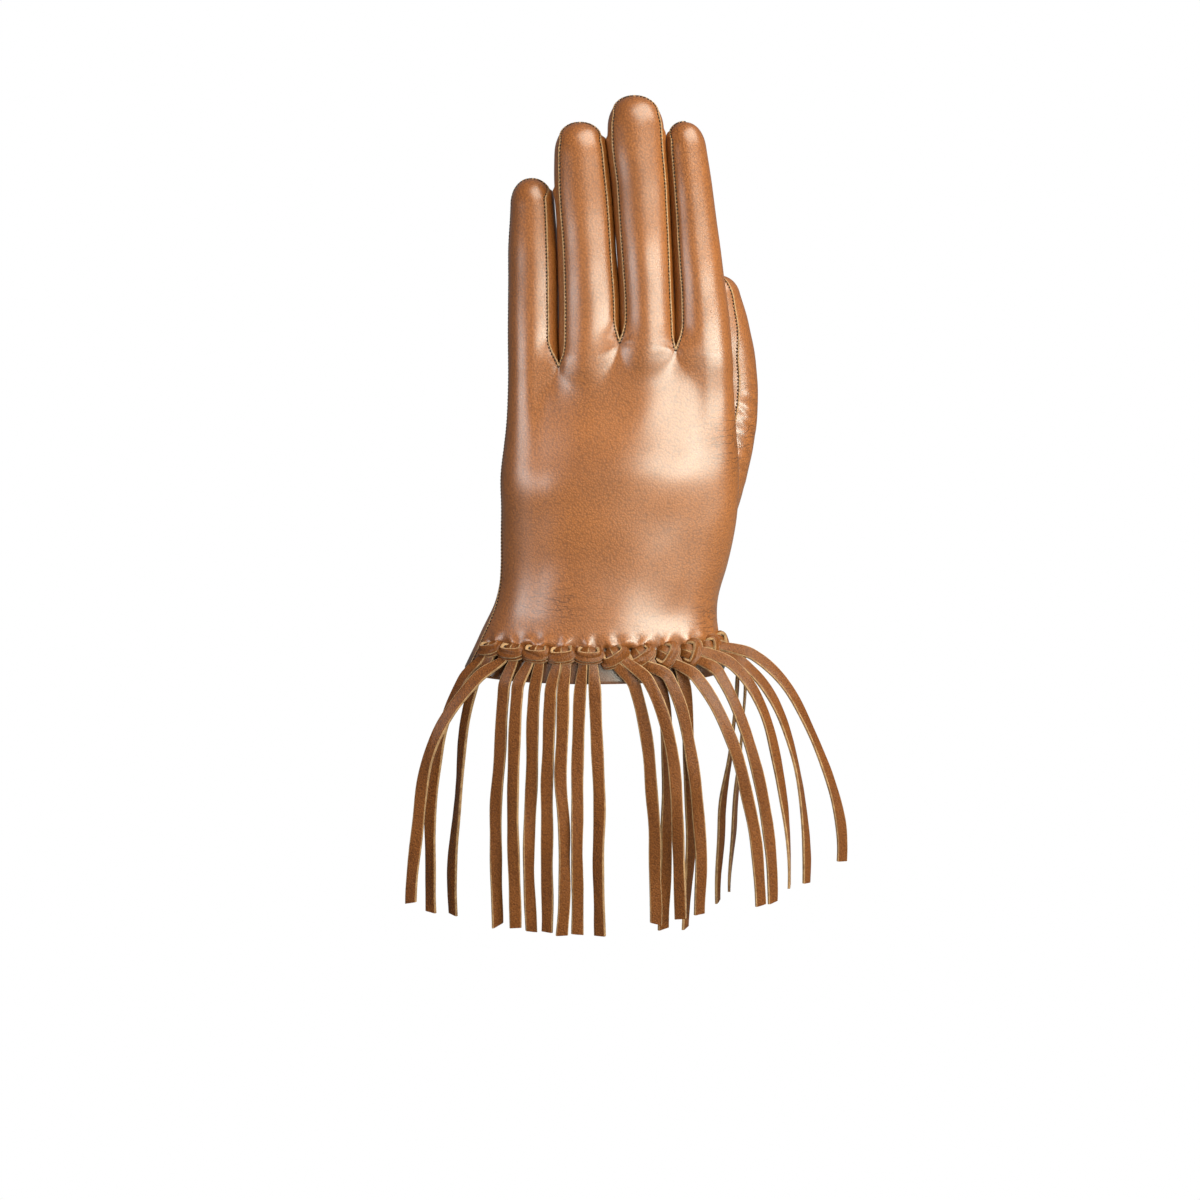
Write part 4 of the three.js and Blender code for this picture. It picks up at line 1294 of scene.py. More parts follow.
# %% Side seam and seams of the thumb
SIDE_SEAM_REACH = 0.035
SIDE_SEAM_BEND = 60
LOW_SIDE_TOP, HIGH_SIDE_START = 70.0, 78
SEAM_STEP = 0.8
THUMB_SEAM = table(
    "z turn", (84, 76), (90.5, 73), (101, 71), (109.5, 71), (119.5, 60), (126, 55), (131, 50)
)

low_z = np.linspace(1.0, LOW_SIDE_TOP, 90)
low_share = -1 + SIDE_SEAM_REACH * (1 - ease(low_z / SIDE_SEAM_BEND))
palm_edge = net_grids["panel", 0, 1][:, 1]
palm_edge = palm_edge[net[palm_edge, 2] > HIGH_SIDE_START]
side_line = np.concatenate([hand_point(low_share, -1, low_z), skin_out[palm_edge]])
side_points, side_out = on_skin(hand_tree, even_path(side_line, SEAM_STEP)[0])
side_across = np.cross(unit(np.gradient(side_points, axis=0)), side_out)
add_seam(side_points, unit(smoothed(side_out)), side_across)

thumb_tree = fine_tree(thumb_skin, thumb_quads)
seam_z = np.linspace(THUMB_SEAM["z"][0], THUMB_SEAM["z"][-1], 70)
seam_line = thumb_point(np.radians(column(THUMB_SEAM, "turn", seam_z)), seam_z)
over_tip = np.linspace(0.1, 0.98, 8)
last_turn = np.full(8, math.radians(THUMB_SEAM["turn"][-1]))
tip_line = thumb_point(last_turn, np.full(8, THUMB["z"][-1]), over_tip)
seam_path = even_path(np.concatenate([seam_line, tip_line]), SEAM_STEP)[0]
thumb_points, thumb_away = on_skin(thumb_tree, seam_path)
thumb_across = np.cross(thumb_away, unit(np.gradient(thumb_points, axis=0)))
add_seam(thumb_points, unit(smoothed(thumb_away)), thumb_across)

root = np.append(np.arange(THUMB_COLUMNS), 0)
root_points = thumb_skin[root]
hand_away = on_skin(hand_tree, root_points)[1]
root_out = unit(hand_away + thumb_out[root])
add_seam(root_points, root_out, thumb_skin[root + 2 * THUMB_COLUMNS] - root_points)
print("seams:", len(lips))


# %% [markdown]
# The lining lies inside the cuff, with room for the ends of the laces that come through their slots.
# Only its band by the hem is made, since nothing deeper can be seen. The same formula as the hand's
# section gives it, moved inwards, so it follows the cuff at an even distance.

# %% Lining
LINING = 1.0
LINING_GAP = 0.45
LACE_ROOM = 2.1
LACE_ROOM_REACH = 2.7
LACE_ROOM_SLOPE = 4.5
LINING_Z = np.linspace(1.5, 28.0, 30)
LINING_SHARES = -np.cos(PI * np.arange(49) / 48)


def lining_ring(depth):
    """Rows of points round the cuff at a depth under the leather's inside."""
    z = LINING_Z[:, None]
    room = LACE_ROOM * ease(1 - (np.abs(z - LACE_HEIGHT) - LACE_ROOM_REACH) / LACE_ROOM_SLOPE)
    inset = LEATHER + LINING_GAP + room + depth
    back = hand_point(LINING_SHARES[None, :], -1, z, inset)
    palm = hand_point(LINING_SHARES[None, -2:0:-1], 1, z, inset)
    return np.concatenate([back, palm], axis=1)


outer_lining, inner_lining = lining_ring(0.0), lining_ring(LINING)
lining_columns = outer_lining.shape[1]
lining_quads = ring_quads(len(LINING_Z), lining_columns)[:-lining_columns].tolist()
no_hem = np.zeros(outer_lining.shape[0] * lining_columns, bool)
lining_wall = close_wall(outer_lining.reshape(-1, 3), inner_lining.reshape(-1, 3), lining_quads, no_hem)
print("faces of the lining:", len(lining_wall[1]))


# %% [markdown]
# Small helpers keep the node groups below short and readable: one adds a node, fills its sockets and
# links the ones that are given another node's output. Two more do sums with them, and the last one
# opens a group with named sockets.

# %% Helpers for node groups
def node(tree, kind, inputs=(), **settings):
    """Adds a node. inputs holds values or other nodes' sockets, by the name or number of the input."""
    made = tree.nodes.new(kind)
    made.location = (220 * (len(tree.nodes) % 8), -260 * (len(tree.nodes) // 8))
    for name, value in settings.items():
        setattr(made, name, value)
    for key, value in dict(inputs).items():
        if isinstance(value, bpy.types.NodeSocket):
            tree.links.new(value, made.inputs[key])
        else:
            made.inputs[key].default_value = value
    return made


def maths(tree, operation, *values):
    """The result of one operation on numbers or sockets."""
    return node(tree, "ShaderNodeMath", enumerate(values), operation=operation).outputs[0]


def total(tree, *pairs):
    """The sum of some values, each times its weight."""
    products = [maths(tree, "MULTIPLY", value, weight) for value, weight in pairs]
    result = products[0]
    for product in products[1:]:
        result = maths(tree, "ADD", result, product)
    return result


def new_group(name, kind, ins, outs):
    """A node group with its sockets. Returns the group, its inputs and its output node."""
    group = bpy.data.node_groups.new(name, kind)
    for title, socket, value in ins:
        made = group.interface.new_socket(title, in_out="INPUT", socket_type=socket)
        if value is not None:
            made.default_value = value
    for title, socket in outs:
        group.interface.new_socket(title, in_out="OUTPUT", socket_type=socket)
    return group, group.nodes.new("NodeGroupInput").outputs, group.nodes.new("NodeGroupOutput")


FLOAT, WHOLE = "NodeSocketFloat", "NodeSocketInt"
GEOMETRY, MATERIAL = "NodeSocketGeometry", "NodeSocketMaterial"


# %% [markdown]
# Sheepskin has a fine grain of about half a millimetre, which breaks up its highlights, and a slow
# change of tone from tanning and handling. One shared group works both out from the object's own
# coordinates, so the grain runs on without a break from the trank into the thumb and the gussets.

# %% Grain of the smooth side
def cloud(tree, place, size, detail=2.0):
    """Soft noise with spots of the given size in millimetres."""
    inputs = {"Vector": place, "Scale": 1 / size, "Detail": detail}
    return node(tree, "ShaderNodeTexNoise", inputs).outputs[0]


def millimetres(tree):
    """The place on the object in millimetres."""
    place = node(tree, "ShaderNodeTexCoord").outputs["Object"]
    scaled = node(tree, "ShaderNodeVectorMath", {0: place, "Scale": 1 / MM}, operation="SCALE")
    return scaled.outputs[0]


# Weights of the clouds and the cells in the height and the tone of the grain.
BROAD_HEIGHT, CELL_HEIGHT, PORE_HEIGHT = 0.5, -1.3, 0.4
# The cells darken towards their edges, in the grain's valleys: partly the grain's own colour and partly
# painted shade.
SLOW_TONE, BROAD_TONE, PORE_TONE, CELL_TONE, EVEN_TONE = 0.45, 0.06, 0.35, -0.6, 0.29
PORE_SIZE, BROAD_SIZE, SLOW_SIZE, WEAR_SIZE = 0.4, 3.4, 26.0, 6.0
# Creases lie where a long cloud passes its middle value, within this distance of it.
CREASE_SIZE = 2.4
CREASE_REACH = 1 / 22

grain, grain_in, grain_out = new_group(
    "skin_grain", "ShaderNodeTree", [("Cell size", FLOAT, 0.55)],
    [("Height", FLOAT), ("Tone", FLOAT), ("Wear", FLOAT), ("Creases", FLOAT)],
)
place = millimetres(grain)
warp = node(grain, "ShaderNodeTexNoise", {"Vector": place, "Scale": 0.9, "Detail": 2.0}).outputs["Color"]
bent = node(
    grain, "ShaderNodeVectorMath", {0: warp, 1: (0.5, 0.5, 0.5), 2: place}, operation="MULTIPLY_ADD"
).outputs[0]
cell_scale = maths(grain, "DIVIDE", 1.0, grain_in["Cell size"])
cells = node(grain, "ShaderNodeTexVoronoi", {"Vector": bent, "Scale": cell_scale}).outputs["Distance"]
pores = cloud(grain, place, PORE_SIZE)
broad = cloud(grain, place, BROAD_SIZE, 3.0)
slow = cloud(grain, place, SLOW_SIZE, 3.0)
long_place = node(
    grain, "ShaderNodeVectorMath", {0: place, 1: (0.3, 0.3, 1.0)}, operation="MULTIPLY"
).outputs[0]
level = maths(grain, "ABSOLUTE", maths(grain, "SUBTRACT", cloud(grain, long_place, CREASE_SIZE), 0.5))
grain_parts = {
    "Height": total(grain, (broad, BROAD_HEIGHT), (cells, CELL_HEIGHT), (pores, PORE_HEIGHT)),
    "Tone": total(
        grain, (slow, SLOW_TONE), (broad, BROAD_TONE), (pores, PORE_TONE), (1.0, EVEN_TONE),
        (cells, CELL_TONE),
    ),
    "Wear": cloud(grain, place, WEAR_SIZE, 4.0),
    "Creases": maths(grain, "MAXIMUM", total(grain, (1.0, 1.0), (level, -1 / CREASE_REACH)), 0.0),
}
for title, value in grain_parts.items():
    grain.links.new(value, grain_out.inputs[title])
print("nodes of the grain:", len(grain.nodes))


# %% [markdown]
# The materials: smooth nappa outside, the suede of the flesh side within, the raw pale edge where
# leather is cut, sewing thread, and the short wool of the lining. Folds are painted darker and ridges
# lighter, as painted shade and light, so the smooth side also reads how far the surface was pushed in.

# %% Materials
def new_material(name):
    """An empty material and its tree."""
    made = bpy.data.materials.new(name)
    made.use_nodes = True
    made.node_tree.nodes.clear()
    return made, made.node_tree


def finish_material(tree, color, rough, height, depth, **extra):
    """Principled shader with a bump, depth millimetres high."""
    bump = node(tree, "ShaderNodeBump", {"Strength": 1.0, "Distance": depth * MM, "Height": height})
    inputs = {"Base Color": color, "Roughness": rough, "Normal": bump.outputs[0]}
    inputs.update({key.replace("_", " "): value for key, value in extra.items()})
    shader = node(tree, "ShaderNodeBsdfPrincipled", inputs)
    node(tree, "ShaderNodeOutputMaterial", {"Surface": shader.outputs[0]})


def between(tree, dark, light, share, low, high):
    """A colour between two, as a value rises from low to high."""
    place = node(tree, "ShaderNodeMapRange", {"Value": share, "From Min": low, "From Max": high}).outputs[0]
    mixed = node(tree, "ShaderNodeMix", {"Factor": place}, data_type="RGBA")
    mixed.inputs[6].default_value = (*dark, 1)
    mixed.inputs[7].default_value = (*light, 1)
    return mixed.outputs[2]


# A thin finish gives the leather its soft shine. Numbers that are the same all over stand on the
# shader's own sockets, because the export reads them there.
SPECULAR_LEVEL = 0.1
COAT_ROUGHNESS = 0.34
COAT_IOR = 1.65
WEAR_SHARE = 0.22
# How a fold and a crease change the tone as painted light and shade, and how deep a crease is in the bump.
FOLD_SHADE, CREASE_SHADE, CREASE_DEPTH = 0.35, -0.2, -2.0
# Where the leather is pushed in by millimetres like these, in a slot or a seam, hardly any light falls.
DARK_FROM, DARK_UP_TO = -1.7, -0.9
SLOT_SHADE = (0.015, 0.006, 0.003)


def smooth_leather(name, dark, light, rough, cell=0.75, depth=0.1, coat=0.5, folds=False):
    """Grained leather. folds says that the mesh stores its folds and creases, which the colour shows as
    painted light and shade.
    """
    made, tree = new_material(name)
    skin = node(tree, "ShaderNodeGroup", node_tree=grain)
    skin.inputs["Cell size"].default_value = cell
    tone, height = skin.outputs["Tone"], skin.outputs["Height"]
    if folds:
        push = node(tree, "ShaderNodeAttribute", attribute_name="fold").outputs["Fac"]
        worn = node(tree, "ShaderNodeAttribute", attribute_name="crease").outputs["Fac"]
        creased = maths(tree, "MULTIPLY", skin.outputs["Creases"], worn)
        # Painted light and shade: the colour darkens in folds, seams and creases and lightens on ridges.
        tone = total(tree, (tone, 1.0), (push, FOLD_SHADE), (creased, CREASE_SHADE))
        height = total(tree, (height, 1.0), (creased, CREASE_DEPTH))
    color = between(tree, dark, light, tone, 0.22, 0.78)
    if folds:
        depths = {"Value": push, "From Min": DARK_FROM, "From Max": DARK_UP_TO}
        lit = node(tree, "ShaderNodeMapRange", depths).outputs[0]
        shaded = node(tree, "ShaderNodeMix", {"Factor": lit, 7: color}, data_type="RGBA")
        shaded.inputs[6].default_value = (*SLOT_SHADE, 1)
        color = shaded.outputs[2]
    shine = total(tree, (skin.outputs["Wear"], WEAR_SHARE), (1.0, rough - WEAR_SHARE / 2))
    finish_material(
        tree, color, shine, height, depth, Specular_IOR_Level=SPECULAR_LEVEL, Coat_Weight=coat,
        Coat_Roughness=COAT_ROUGHNESS, Coat_IOR=COAT_IOR,
    )
    return made


def soft_side(name, dark, light, size, depth, rough=0.85, sheen=0.4):
    """Suede, cut leather, thread or wool: matt, with fibres of a size in millimetres and tufts of them."""
    made, tree = new_material(name)
    place = millimetres(tree)
    fibres = total(tree, (cloud(tree, place, size, 3.0), 0.5), (cloud(tree, place, size * 7), 0.5))
    color = between(tree, dark, light, fibres, 0.38, 0.62)
    finish_material(tree, color, rough, fibres, depth, Sheen_Weight=sheen)
    return made


print("brightness of a slot:", round(sum(SLOT_SHADE) / 3, 3))


# %% [markdown]
# Each material is given its darker and its lighter colour, chosen by comparing renders with the photo:
# deep chestnut on the grain side, lighter on the flesh side and palest in the cut. The rolled lips
# and the laces have colours of their own, since the photo shows the lips paler and the laces darker.

# %% Colours
nappa = smooth_leather(
    "nappa_grain", dark=(0.172, 0.051, 0.0088), light=(0.305, 0.096, 0.0180),
    rough=0.44, depth=0.2, coat=1.0, folds=True,
)
# The lips' paler colour is partly the raw edge's own and partly a painted highlight, for the light that the
# raised roll catches.
rolled = smooth_leather(
    "rolled_leather", dark=(0.24, 0.115, 0.045), light=(0.42, 0.235, 0.105), rough=0.44
)
flesh = soft_side(
    "flesh_suede", dark=(0.20, 0.105, 0.052), light=(0.33, 0.19, 0.10), size=0.35, depth=0.12
)
cut_edge = soft_side(
    "cut_edge", dark=(0.28, 0.165, 0.090), light=(0.46, 0.31, 0.19), size=0.3, depth=0.10, sheen=0.1
)
# The laces' grain and flesh sides are darker than the glove's leather: partly their own colour and partly
# painted shade on the hanging strips.
lace_grain = smooth_leather(
    "lace_grain", dark=(0.090, 0.026, 0.0048), light=(0.185, 0.058, 0.0115),
    rough=0.5, cell=0.6, depth=0.15, coat=0.15,
)
lace_flesh = soft_side(
    "lace_flesh", dark=(0.042, 0.015, 0.0060), light=(0.090, 0.034, 0.0140),
    size=0.4, depth=0.16, sheen=0.15,
)
lace_edge = soft_side(
    "lace_edge", dark=(0.17, 0.080, 0.030), light=(0.33, 0.185, 0.080), size=0.3, depth=0.12, sheen=0.1
)
# The thread's near-black colour is partly the dark thread and partly painted shade of the stitch holes.
thread = soft_side(
    "thread", dark=(0.012, 0.005, 0.002), light=(0.034, 0.014, 0.006),
    size=0.15, depth=0.03, rough=0.9, sheen=0.0,
)
wool = soft_side(
    "wool", dark=(0.26, 0.155, 0.078), light=(0.44, 0.30, 0.17), size=0.6, depth=0.10, rough=0.95
)
print("materials:", len(bpy.data.materials))


# %% [markdown]
# Three effects repeat too often to model by hand, so Geometry Nodes places them: the rolled lip of
# leather along a seam, the row of stitches beside it, and the wool of the lining. Every group has
# named inputs, and its result is made a plain mesh.
#
# Along a seam the stitches pull the edge of the leather into a thin roll with a shallow dent at each
# stitch. A tube whose radius rises and falls with the pitch gives that, and follows any line.

# %% Node group: rolled lip
def group_end(tree, geometry, material, result):
    """Makes the result real, gives it its material and sends it out."""
    real = node(tree, "GeometryNodeRealizeInstances", {"Geometry": geometry}).outputs[0]
    smooth = node(tree, "GeometryNodeSetShadeSmooth", {"Geometry": real}).outputs[0]
    painted = node(tree, "GeometryNodeSetMaterial", {"Geometry": smooth, "Material": material})
    tree.links.new(painted.outputs[0], result.inputs[0])


def even_curves(tree, lines, step):
    """Curves along the lines of a mesh, with a point at every step."""
    curves = node(tree, "GeometryNodeMeshToCurve", {"Mesh": lines}).outputs[0]
    return node(
        tree, "GeometryNodeResampleCurve", {"Curve": curves, "Length": step}, mode="LENGTH"
    ).outputs[0]


STITCH_PITCH = 1.25 * MM
rolled_edge, lip_in, lip_out = new_group(
    "rolled_edge", "GeometryNodeTree",
    [("Lines", GEOMETRY, None), ("Radius", FLOAT, 0.34 * MM), ("Step", FLOAT, 0.3 * MM),
     ("Pitch", FLOAT, STITCH_PITCH), ("Scallop", FLOAT, 0.16), ("Material", MATERIAL, None)],
    [("Lips", GEOMETRY)],
)
even = even_curves(rolled_edge, lip_in["Lines"], lip_in["Step"])
along = node(rolled_edge, "GeometryNodeSplineParameter").outputs["Length"]
turn = maths(rolled_edge, "MULTIPLY", maths(rolled_edge, "DIVIDE", along, lip_in["Pitch"]), 2 * PI)
bulge = maths(rolled_edge, "MULTIPLY", maths(rolled_edge, "COSINE", turn), lip_in["Scallop"])
radius = maths(rolled_edge, "MULTIPLY", lip_in["Radius"], maths(rolled_edge, "ADD", bulge, 1.0))
ring = node(rolled_edge, "GeometryNodeCurvePrimitiveCircle", {"Resolution": 7, "Radius": 1.0}).outputs[0]
tube = node(
    rolled_edge, "GeometryNodeCurveToMesh",
    {"Curve": even, "Profile Curve": ring, "Scale": radius, "Fill Caps": True},
).outputs[0]
group_end(rolled_edge, tube, lip_in["Material"], lip_out)
print("nodes of the rolled edge:", len(rolled_edge.nodes))


# %% [markdown]
# A stitch shows as a short dark bar of thread, sunk into the leather; its near-black colour is the
# dark thread together with painted shade of its hole. Each one is a small stretched ball, placed on the
# line at every pitch and turned along it, flat on the skin. Six sides are enough for something under a
# millimetre long that repeats so often.

# %% Node group: row of stitches
stitch_row, stitch_in, stitch_out = new_group(
    "stitch_row", "GeometryNodeTree",
    [("Lines", GEOMETRY, None), ("Pitch", FLOAT, STITCH_PITCH), ("Length", FLOAT, 0.86 * MM),
     ("Thickness", FLOAT, 0.58 * MM), ("Material", MATERIAL, None)],
    [("Stitches", GEOMETRY)],
)
even = even_curves(stitch_row, stitch_in["Lines"], stitch_in["Pitch"])
away = node(
    stitch_row, "GeometryNodeInputNamedAttribute", {"Name": "out"}, data_type="FLOAT_VECTOR"
).outputs[0]
tangent = node(stitch_row, "GeometryNodeInputTangent").outputs[0]
aim = node(
    stitch_row, "FunctionNodeAxesToRotation", {0: tangent, 1: away}, primary_axis="X", secondary_axis="Z"
).outputs[0]
bead = node(
    stitch_row, "GeometryNodeMeshUVSphere", {"Segments": 6, "Rings": 5, "Radius": 0.5}
).outputs["Mesh"]
size = node(
    stitch_row, "ShaderNodeCombineXYZ",
    {"X": stitch_in["Length"], "Y": stitch_in["Thickness"], "Z": stitch_in["Thickness"]},
).outputs[0]
placed = node(
    stitch_row, "GeometryNodeInstanceOnPoints",
    {"Points": even, "Instance": bead, "Rotation": aim, "Scale": size},
).outputs[0]
group_end(stitch_row, placed, stitch_in["Material"], stitch_out)
print("nodes of the row of stitches:", len(stitch_row.nodes))


# %% [markdown]
# The lining is taken for a short wool. Blender's hair would be lost in the export, so small cones of three
# sides stand on the inner faces of the lining instead. Each leans its own way, and the fixed seed
# keeps them where they are in every run.

# %% Node group: wool
pile, pile_in, pile_out = new_group(
    "pile", "GeometryNodeTree",
    [("Cloth", GEOMETRY, None), ("Density", FLOAT, 2.6 / MM**2), ("Length", FLOAT, 1.3 * MM),
     ("Thickness", FLOAT, 0.24 * MM), ("Lean", FLOAT, 0.5), ("Seed", WHOLE, 5),
     ("Material", MATERIAL, None)],
    [("Cloth with pile", GEOMETRY)],
)
inside = node(
    pile, "GeometryNodeInputNamedAttribute", {"Name": "inside"}, data_type="BOOLEAN"
).outputs[0]
spots = node(
    pile, "GeometryNodeDistributePointsOnFaces",
    {"Mesh": pile_in["Cloth"], "Selection": inside, "Density": pile_in["Density"], "Seed": pile_in["Seed"]},
)
lean = node(
    pile, "FunctionNodeRandomValue",
    {0: (-1, -1, -1), 1: (1, 1, 1), "Seed": pile_in["Seed"]}, data_type="FLOAT_VECTOR",
).outputs[0]
lean = node(
    pile, "ShaderNodeVectorMath", {0: lean, "Scale": pile_in["Lean"]}, operation="SCALE"
).outputs[0]
rise = node(pile, "ShaderNodeVectorMath", {0: spots.outputs["Normal"], 1: lean}, operation="ADD").outputs[0]
stand = node(pile, "FunctionNodeAlignRotationToVector", {"Vector": rise}, axis="Z").outputs[0]
tuft = node(
    pile, "GeometryNodeMeshCone", {"Vertices": 3, "Radius Top": 0.08, "Radius Bottom": 0.5, "Depth": 1.0}
).outputs["Mesh"]
size = node(
    pile, "ShaderNodeCombineXYZ",
    {"X": pile_in["Thickness"], "Y": pile_in["Thickness"], "Z": pile_in["Length"]},
).outputs[0]
tufts = node(
    pile, "GeometryNodeInstanceOnPoints",
    {"Points": spots.outputs["Points"], "Instance": tuft, "Rotation": stand, "Scale": size},
).outputs[0]
both = node(pile, "GeometryNodeJoinGeometry")
pile.links.new(tufts, both.inputs[0])
pile.links.new(pile_in["Cloth"], both.inputs[0])
group_end(pile, both.outputs[0], pile_in["Material"], pile_out)
print("node groups:", [group.name for group in bpy.data.node_groups])


# %% [markdown]
# Now the pieces are put together. Each one rides on the part's single body and stands in for its solid.
# The leather's meshes also store two values at their corners for the material: how far the skin was
# pushed out or in, with the painted shade of the seams and the hem added, and how much it creases when it
# is worn.

# %% Pieces of leather
def take_place(piece, slot, *nodes):
    """Puts a piece on the body and in the place of solids where it has any. Its slot is not used."""
    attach(piece, "root")
    if nodes:
        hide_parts(*nodes)


# Where the leather bends as the glove is put on and the hand moves: a place, its half sizes and
# how much it creases there.
CREASED = table(
    "x z wide high strength",
    (-17, 28, 14, 9, 0.8),
    (-26, 24, 9, 9, 0.6),
    (38, 21, 8, 7, 0.9),
    (10, 20, 22, 6, 0.35),
    (30, 60, 12, 18, 0.15),
    (-9, 106, 10, 6, 0.5),
    (14, 112, 9, 5, 0.4),
    (34, 110, 8, 5, 0.4),
    (47, 84, 14, 12, 0.9),
    (52, 100, 8, 10, 0.6),
)


def set_value(mesh, name, values):
    """Stores a value for each corner, outside corners first."""
    stored = np.zeros(len(mesh.vertices))
    stored[:len(values)] = values
    mesh.attributes.new(name, "FLOAT", "POINT").data.foreach_set("value", stored)


def creased_places(mesh):
    """How creased the leather is at each corner: where it bends as the glove is put on."""
    places = np.zeros(len(mesh.vertices) * 3)
    mesh.vertices.foreach_get("co", places)
    places = places.reshape(-1, 3) / MM
    most = np.zeros(len(places))
    for x, z, wide, high, strength in zip(*CREASED.values()):
        near = bell((places[:, 0] - x, wide), (places[:, 2] - z, high))
        most = np.maximum(most, strength * near)
    return most


leather = (nappa, flesh, cut_edge)
for owner in wall_meshes:
    if owner == "thumb":
        pushed = thumb_push
    else:
        # The painted shade of the seams and the hem is stored with the folds here.
        pushed = (net_push + seam_shade)[np.unique(net_quads[net_owners == owner])]
    set_value(wall_meshes[owner], "fold", pushed)
    set_value(wall_meshes[owner], "crease", creased_places(wall_meshes[owner]))
    piece = add_object(owner + "_leather", wall_meshes[owner], leather)
    take_place(piece, "nappa", owner)

LACE_CORNER = 40
for number, part in enumerate(lace_parts, start=1):
    mesh = mesh_from(f"lace_{number:02d}_strip", *part, sharp=LACE_CORNER)
    piece = add_object(mesh.name, mesh, (lace_grain, lace_edge, lace_flesh))
    take_place(piece, "lace", f"lace_{number:02d}")


# %% [markdown]
# The node groups now run on their lines and on the lining. A modifier finds its inputs by the sockets'
# identifiers. The evaluated object is read back as a plain mesh and the modifier is taken off, so the
# export finds ordinary faces.

# %% Seams, stitches and wool
def grown(source, group, values):
    """Runs a node group on an object, whose plain mesh then holds the result."""
    modifier = source.modifiers.new(group.name, "NODES")
    modifier.node_group = group
    for item in group.interface.items_tree:
        if item.item_type == "SOCKET" and item.in_out == "INPUT" and item.name in values:
            modifier[item.identifier] = values[item.name]
    bpy.context.view_layer.update()
    result = source.evaluated_get(bpy.context.evaluated_depsgraph_get())
    mesh = bpy.data.meshes.new_from_object(result)
    source.modifiers.remove(modifier)
    source.data = mesh


def lines_mesh(name, lines):
    """A mesh of open lines with the skin's outward direction at every point."""
    points = np.concatenate([line for line, out in lines])
    outs = np.concatenate([out for line, out in lines])
    edges, start = [], 0
    for line, out in lines:
        edges += [(k, k + 1) for k in range(start, start + len(line) - 1)]
        start += len(line)
    mesh = bpy.data.meshes.new(name)
    mesh.from_pydata((points * MM).tolist(), edges, [])
    mesh.attributes.new("out", "FLOAT_VECTOR", "POINT").data.foreach_set("vector", outs.ravel())
    return mesh


lip_piece = add_object("seam_lips", lines_mesh("seam_lips", lips), ())
grown(lip_piece, rolled_edge, {"Material": rolled})
take_place(lip_piece, "nappa")
stitch_piece = add_object("seam_stitches", lines_mesh("seam_stitches", rows_of_stitches), ())
grown(stitch_piece, stitch_row, {"Material": thread})
take_place(stitch_piece, "nappa")

lining_mesh = mesh_from("cuff_wool", *lining_wall)
lining_inside = np.array(lining_wall[2]) == FLESH
lining_mesh.attributes.new("inside", "BOOLEAN", "FACE").data.foreach_set("value", lining_inside)
wool_piece = add_object("cuff_wool", lining_mesh, ())
grown(wool_piece, pile, {"Material": wool})
take_place(wool_piece, "lining", "cuff_lining")
for piece in (lip_piece, stitch_piece, wool_piece):
    piece.data.calc_loop_triangles()
    print(piece.name, "triangles:", len(piece.data.loop_triangles))


# %% [markdown]
# The floor and the surround look white, but they send little light onto the glove, because its leather
# has deep shadows in the photo. A mix by Is Camera Ray does that: the camera sees plain white, and the
# other rays find a darker grey. The floor stops just under the ends of the fringe.

# %% Floor and surround
FLOOR_GAP = 0.0005
FLOOR_HALF = 6.0
FLOOR_ALBEDO = 0.24
SURROUND = 0.19
model_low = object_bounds()[0][2]

floor_mesh = bpy.data.meshes.new("floor")
floor_corners = [(x * FLOOR_HALF, y * FLOOR_HALF, 0) for x, y in ((-1, -1), (1, -1), (1, 1), (-1, 1))]
floor_mesh.from_pydata(floor_corners, [], [(0, 1, 2, 3)])
floor_material, floor_tree = new_material("floor")
seen = node(floor_tree, "ShaderNodeLightPath").outputs["Is Camera Ray"]
lit = node(floor_tree, "ShaderNodeBsdfDiffuse", {"Color": (*[FLOOR_ALBEDO] * 3, 1)}).outputs[0]
white = node(floor_tree, "ShaderNodeEmission").outputs[0]
paper = node(floor_tree, "ShaderNodeMixShader", {0: seen, 1: lit, 2: white}).outputs[0]
node(floor_tree, "ShaderNodeOutputMaterial", {"Surface": paper})
floor = add_object("floor", floor_mesh, (floor_material,))
floor.location.z = model_low - FLOOR_GAP

world = bpy.data.worlds.new("surround")
world.use_nodes = True
surround = world.node_tree.nodes["Background"]
seen = node(world.node_tree, "ShaderNodeLightPath").outputs["Is Camera Ray"]
strength = total(world.node_tree, (seen, 1 - SURROUND), (1.0, SURROUND))
surround.inputs["Color"].default_value = (1, 1, 1, 1)
world.node_tree.links.new(strength, surround.inputs["Strength"])
bpy.context.scene.world = world
bpy.context.scene.view_settings.view_transform = "Standard"
bpy.context.scene.view_settings.look = "None"
print("height of the floor:", round(floor.location.z, 4))


# %% [markdown]
# Glossy leather shows mostly what it reflects, so the lights' sizes and places matter more than their
# strength. A long low strip close by on the right makes the glow over the knuckles and on the
# flare of the cuff. A shorter one on the left draws the thin line of light on the little finger's
# side. A broad high light on the right gives the plain light on everything, and soft shadows.

# %% Lights
AIM = (0.0, 0.0, 0.09)


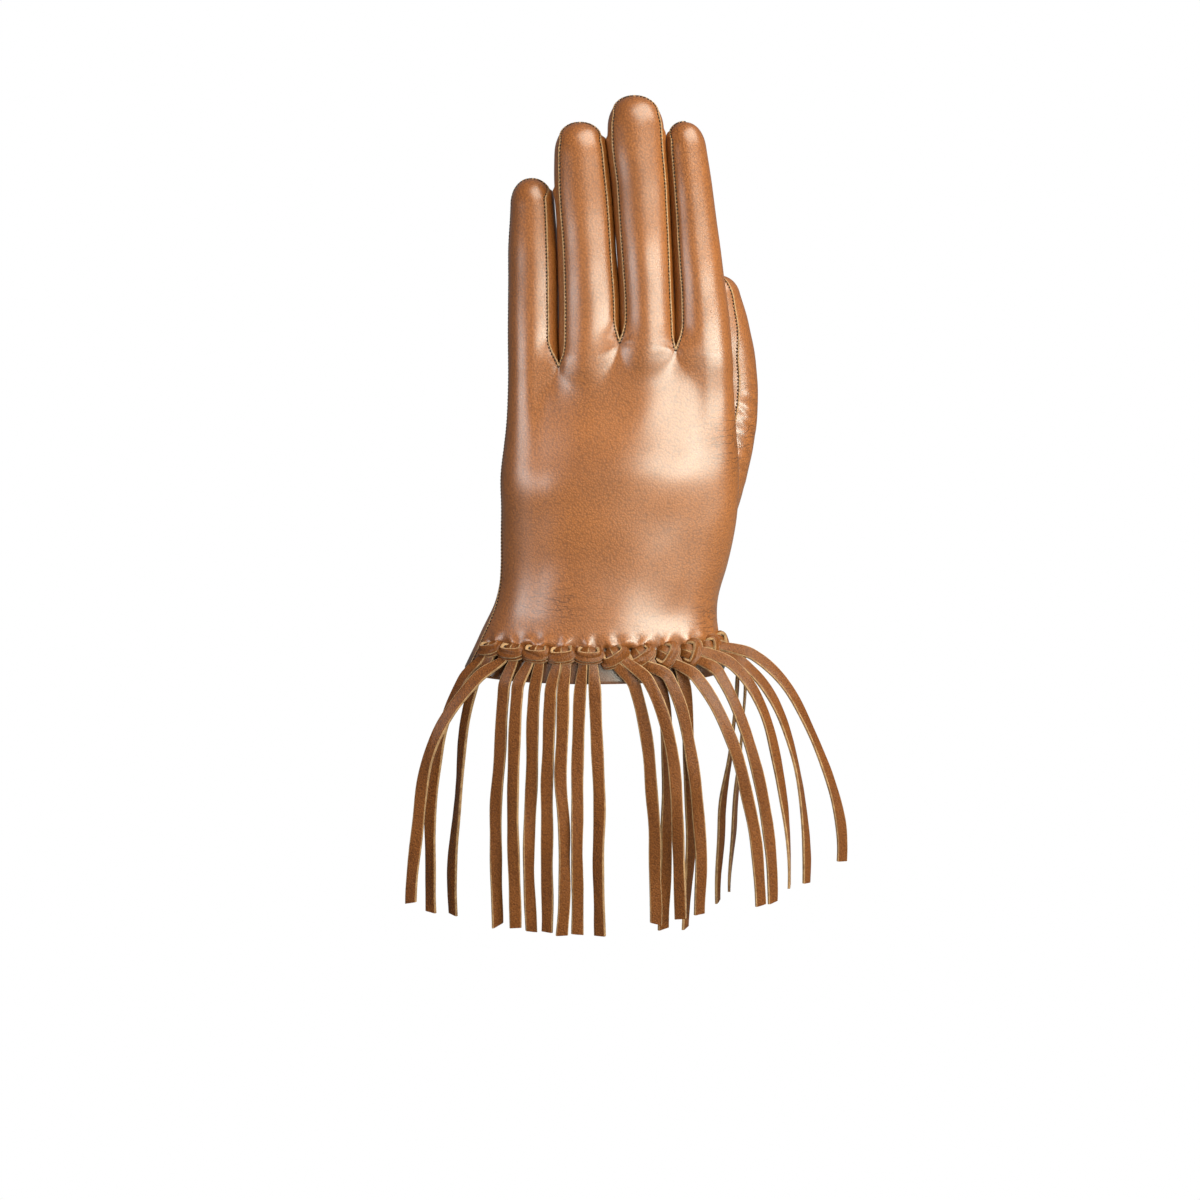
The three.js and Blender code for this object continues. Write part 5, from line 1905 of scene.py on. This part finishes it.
def around(azimuth, elevation, distance):
    """A place seen from AIM: azimuth in degrees from the front to the right, elevation in degrees."""
    side, up = math.radians(azimuth), math.radians(elevation)
    level = distance * math.cos(up)
    x, y = AIM[0] + level * math.sin(side), AIM[1] - level * math.cos(side)
    return x, y, AIM[2] + distance * math.sin(up)


def soft_light(name, place, aim, wide, high, radiance, color):
    """A rectangular light of a given brightness, turned towards a point. Lengths in metres."""
    light = bpy.data.lights.new(name, "AREA")
    light.shape = "RECTANGLE"
    light.size, light.size_y = wide, high
    light.energy = radiance * PI * wide * high
    light.color = color
    made = bpy.data.objects.new(name, light)
    made.location = place
    made.rotation_euler = (Vector(aim) - Vector(place)).to_track_quat("-Z", "Y").to_euler()
    bpy.context.scene.collection.objects.link(made)
    made.visible_camera = False


# Each light's name, place, width, height, brightness and colour.
LIGHTS = (
    ("glow", around(41, 7.0, 0.52), 0.62, 0.115, 22.0, (0.92, 1.0, 0.88)),
    ("key", around(50, 57, 1.5), 1.7, 1.1, 6.9, (1.0, 0.98, 0.84)),
    ("left", around(-53, 6.0, 0.51), 0.32, 0.08, 13.0, (0.95, 0.98, 0.97)),
)
for name, place, wide, high, radiance, color in LIGHTS:
    soft_light(name, place, AIM, wide, high, radiance, color)
    print(name, "stands at", [round(value, 2) for value in place])


# %% [markdown]
# The camera repeats the photo's view: from the front, 0.7 m away, above the middle of the glove and
# looking 11 degrees down, so that the glove has the size and the place that it has in the photo.

# %% Camera
FOCAL_LENGTH, SENSOR_WIDTH = 59.57, 36
CAMERA_PLACE = (-0.00145, -0.7068, 0.1619)
CAMERA_DOWN = 11

lens = bpy.data.cameras.new("camera")
lens.lens = FOCAL_LENGTH
lens.sensor_width = SENSOR_WIDTH
lens.clip_start = 0.01
camera = bpy.data.objects.new("camera", lens)
camera.location = CAMERA_PLACE
camera.rotation_euler = (math.radians(90 - CAMERA_DOWN), 0, 0)
bpy.context.scene.collection.objects.link(camera)
bpy.context.scene.camera = camera
print("height of the camera above the floor:", round(camera.location.z - floor.location.z, 3))
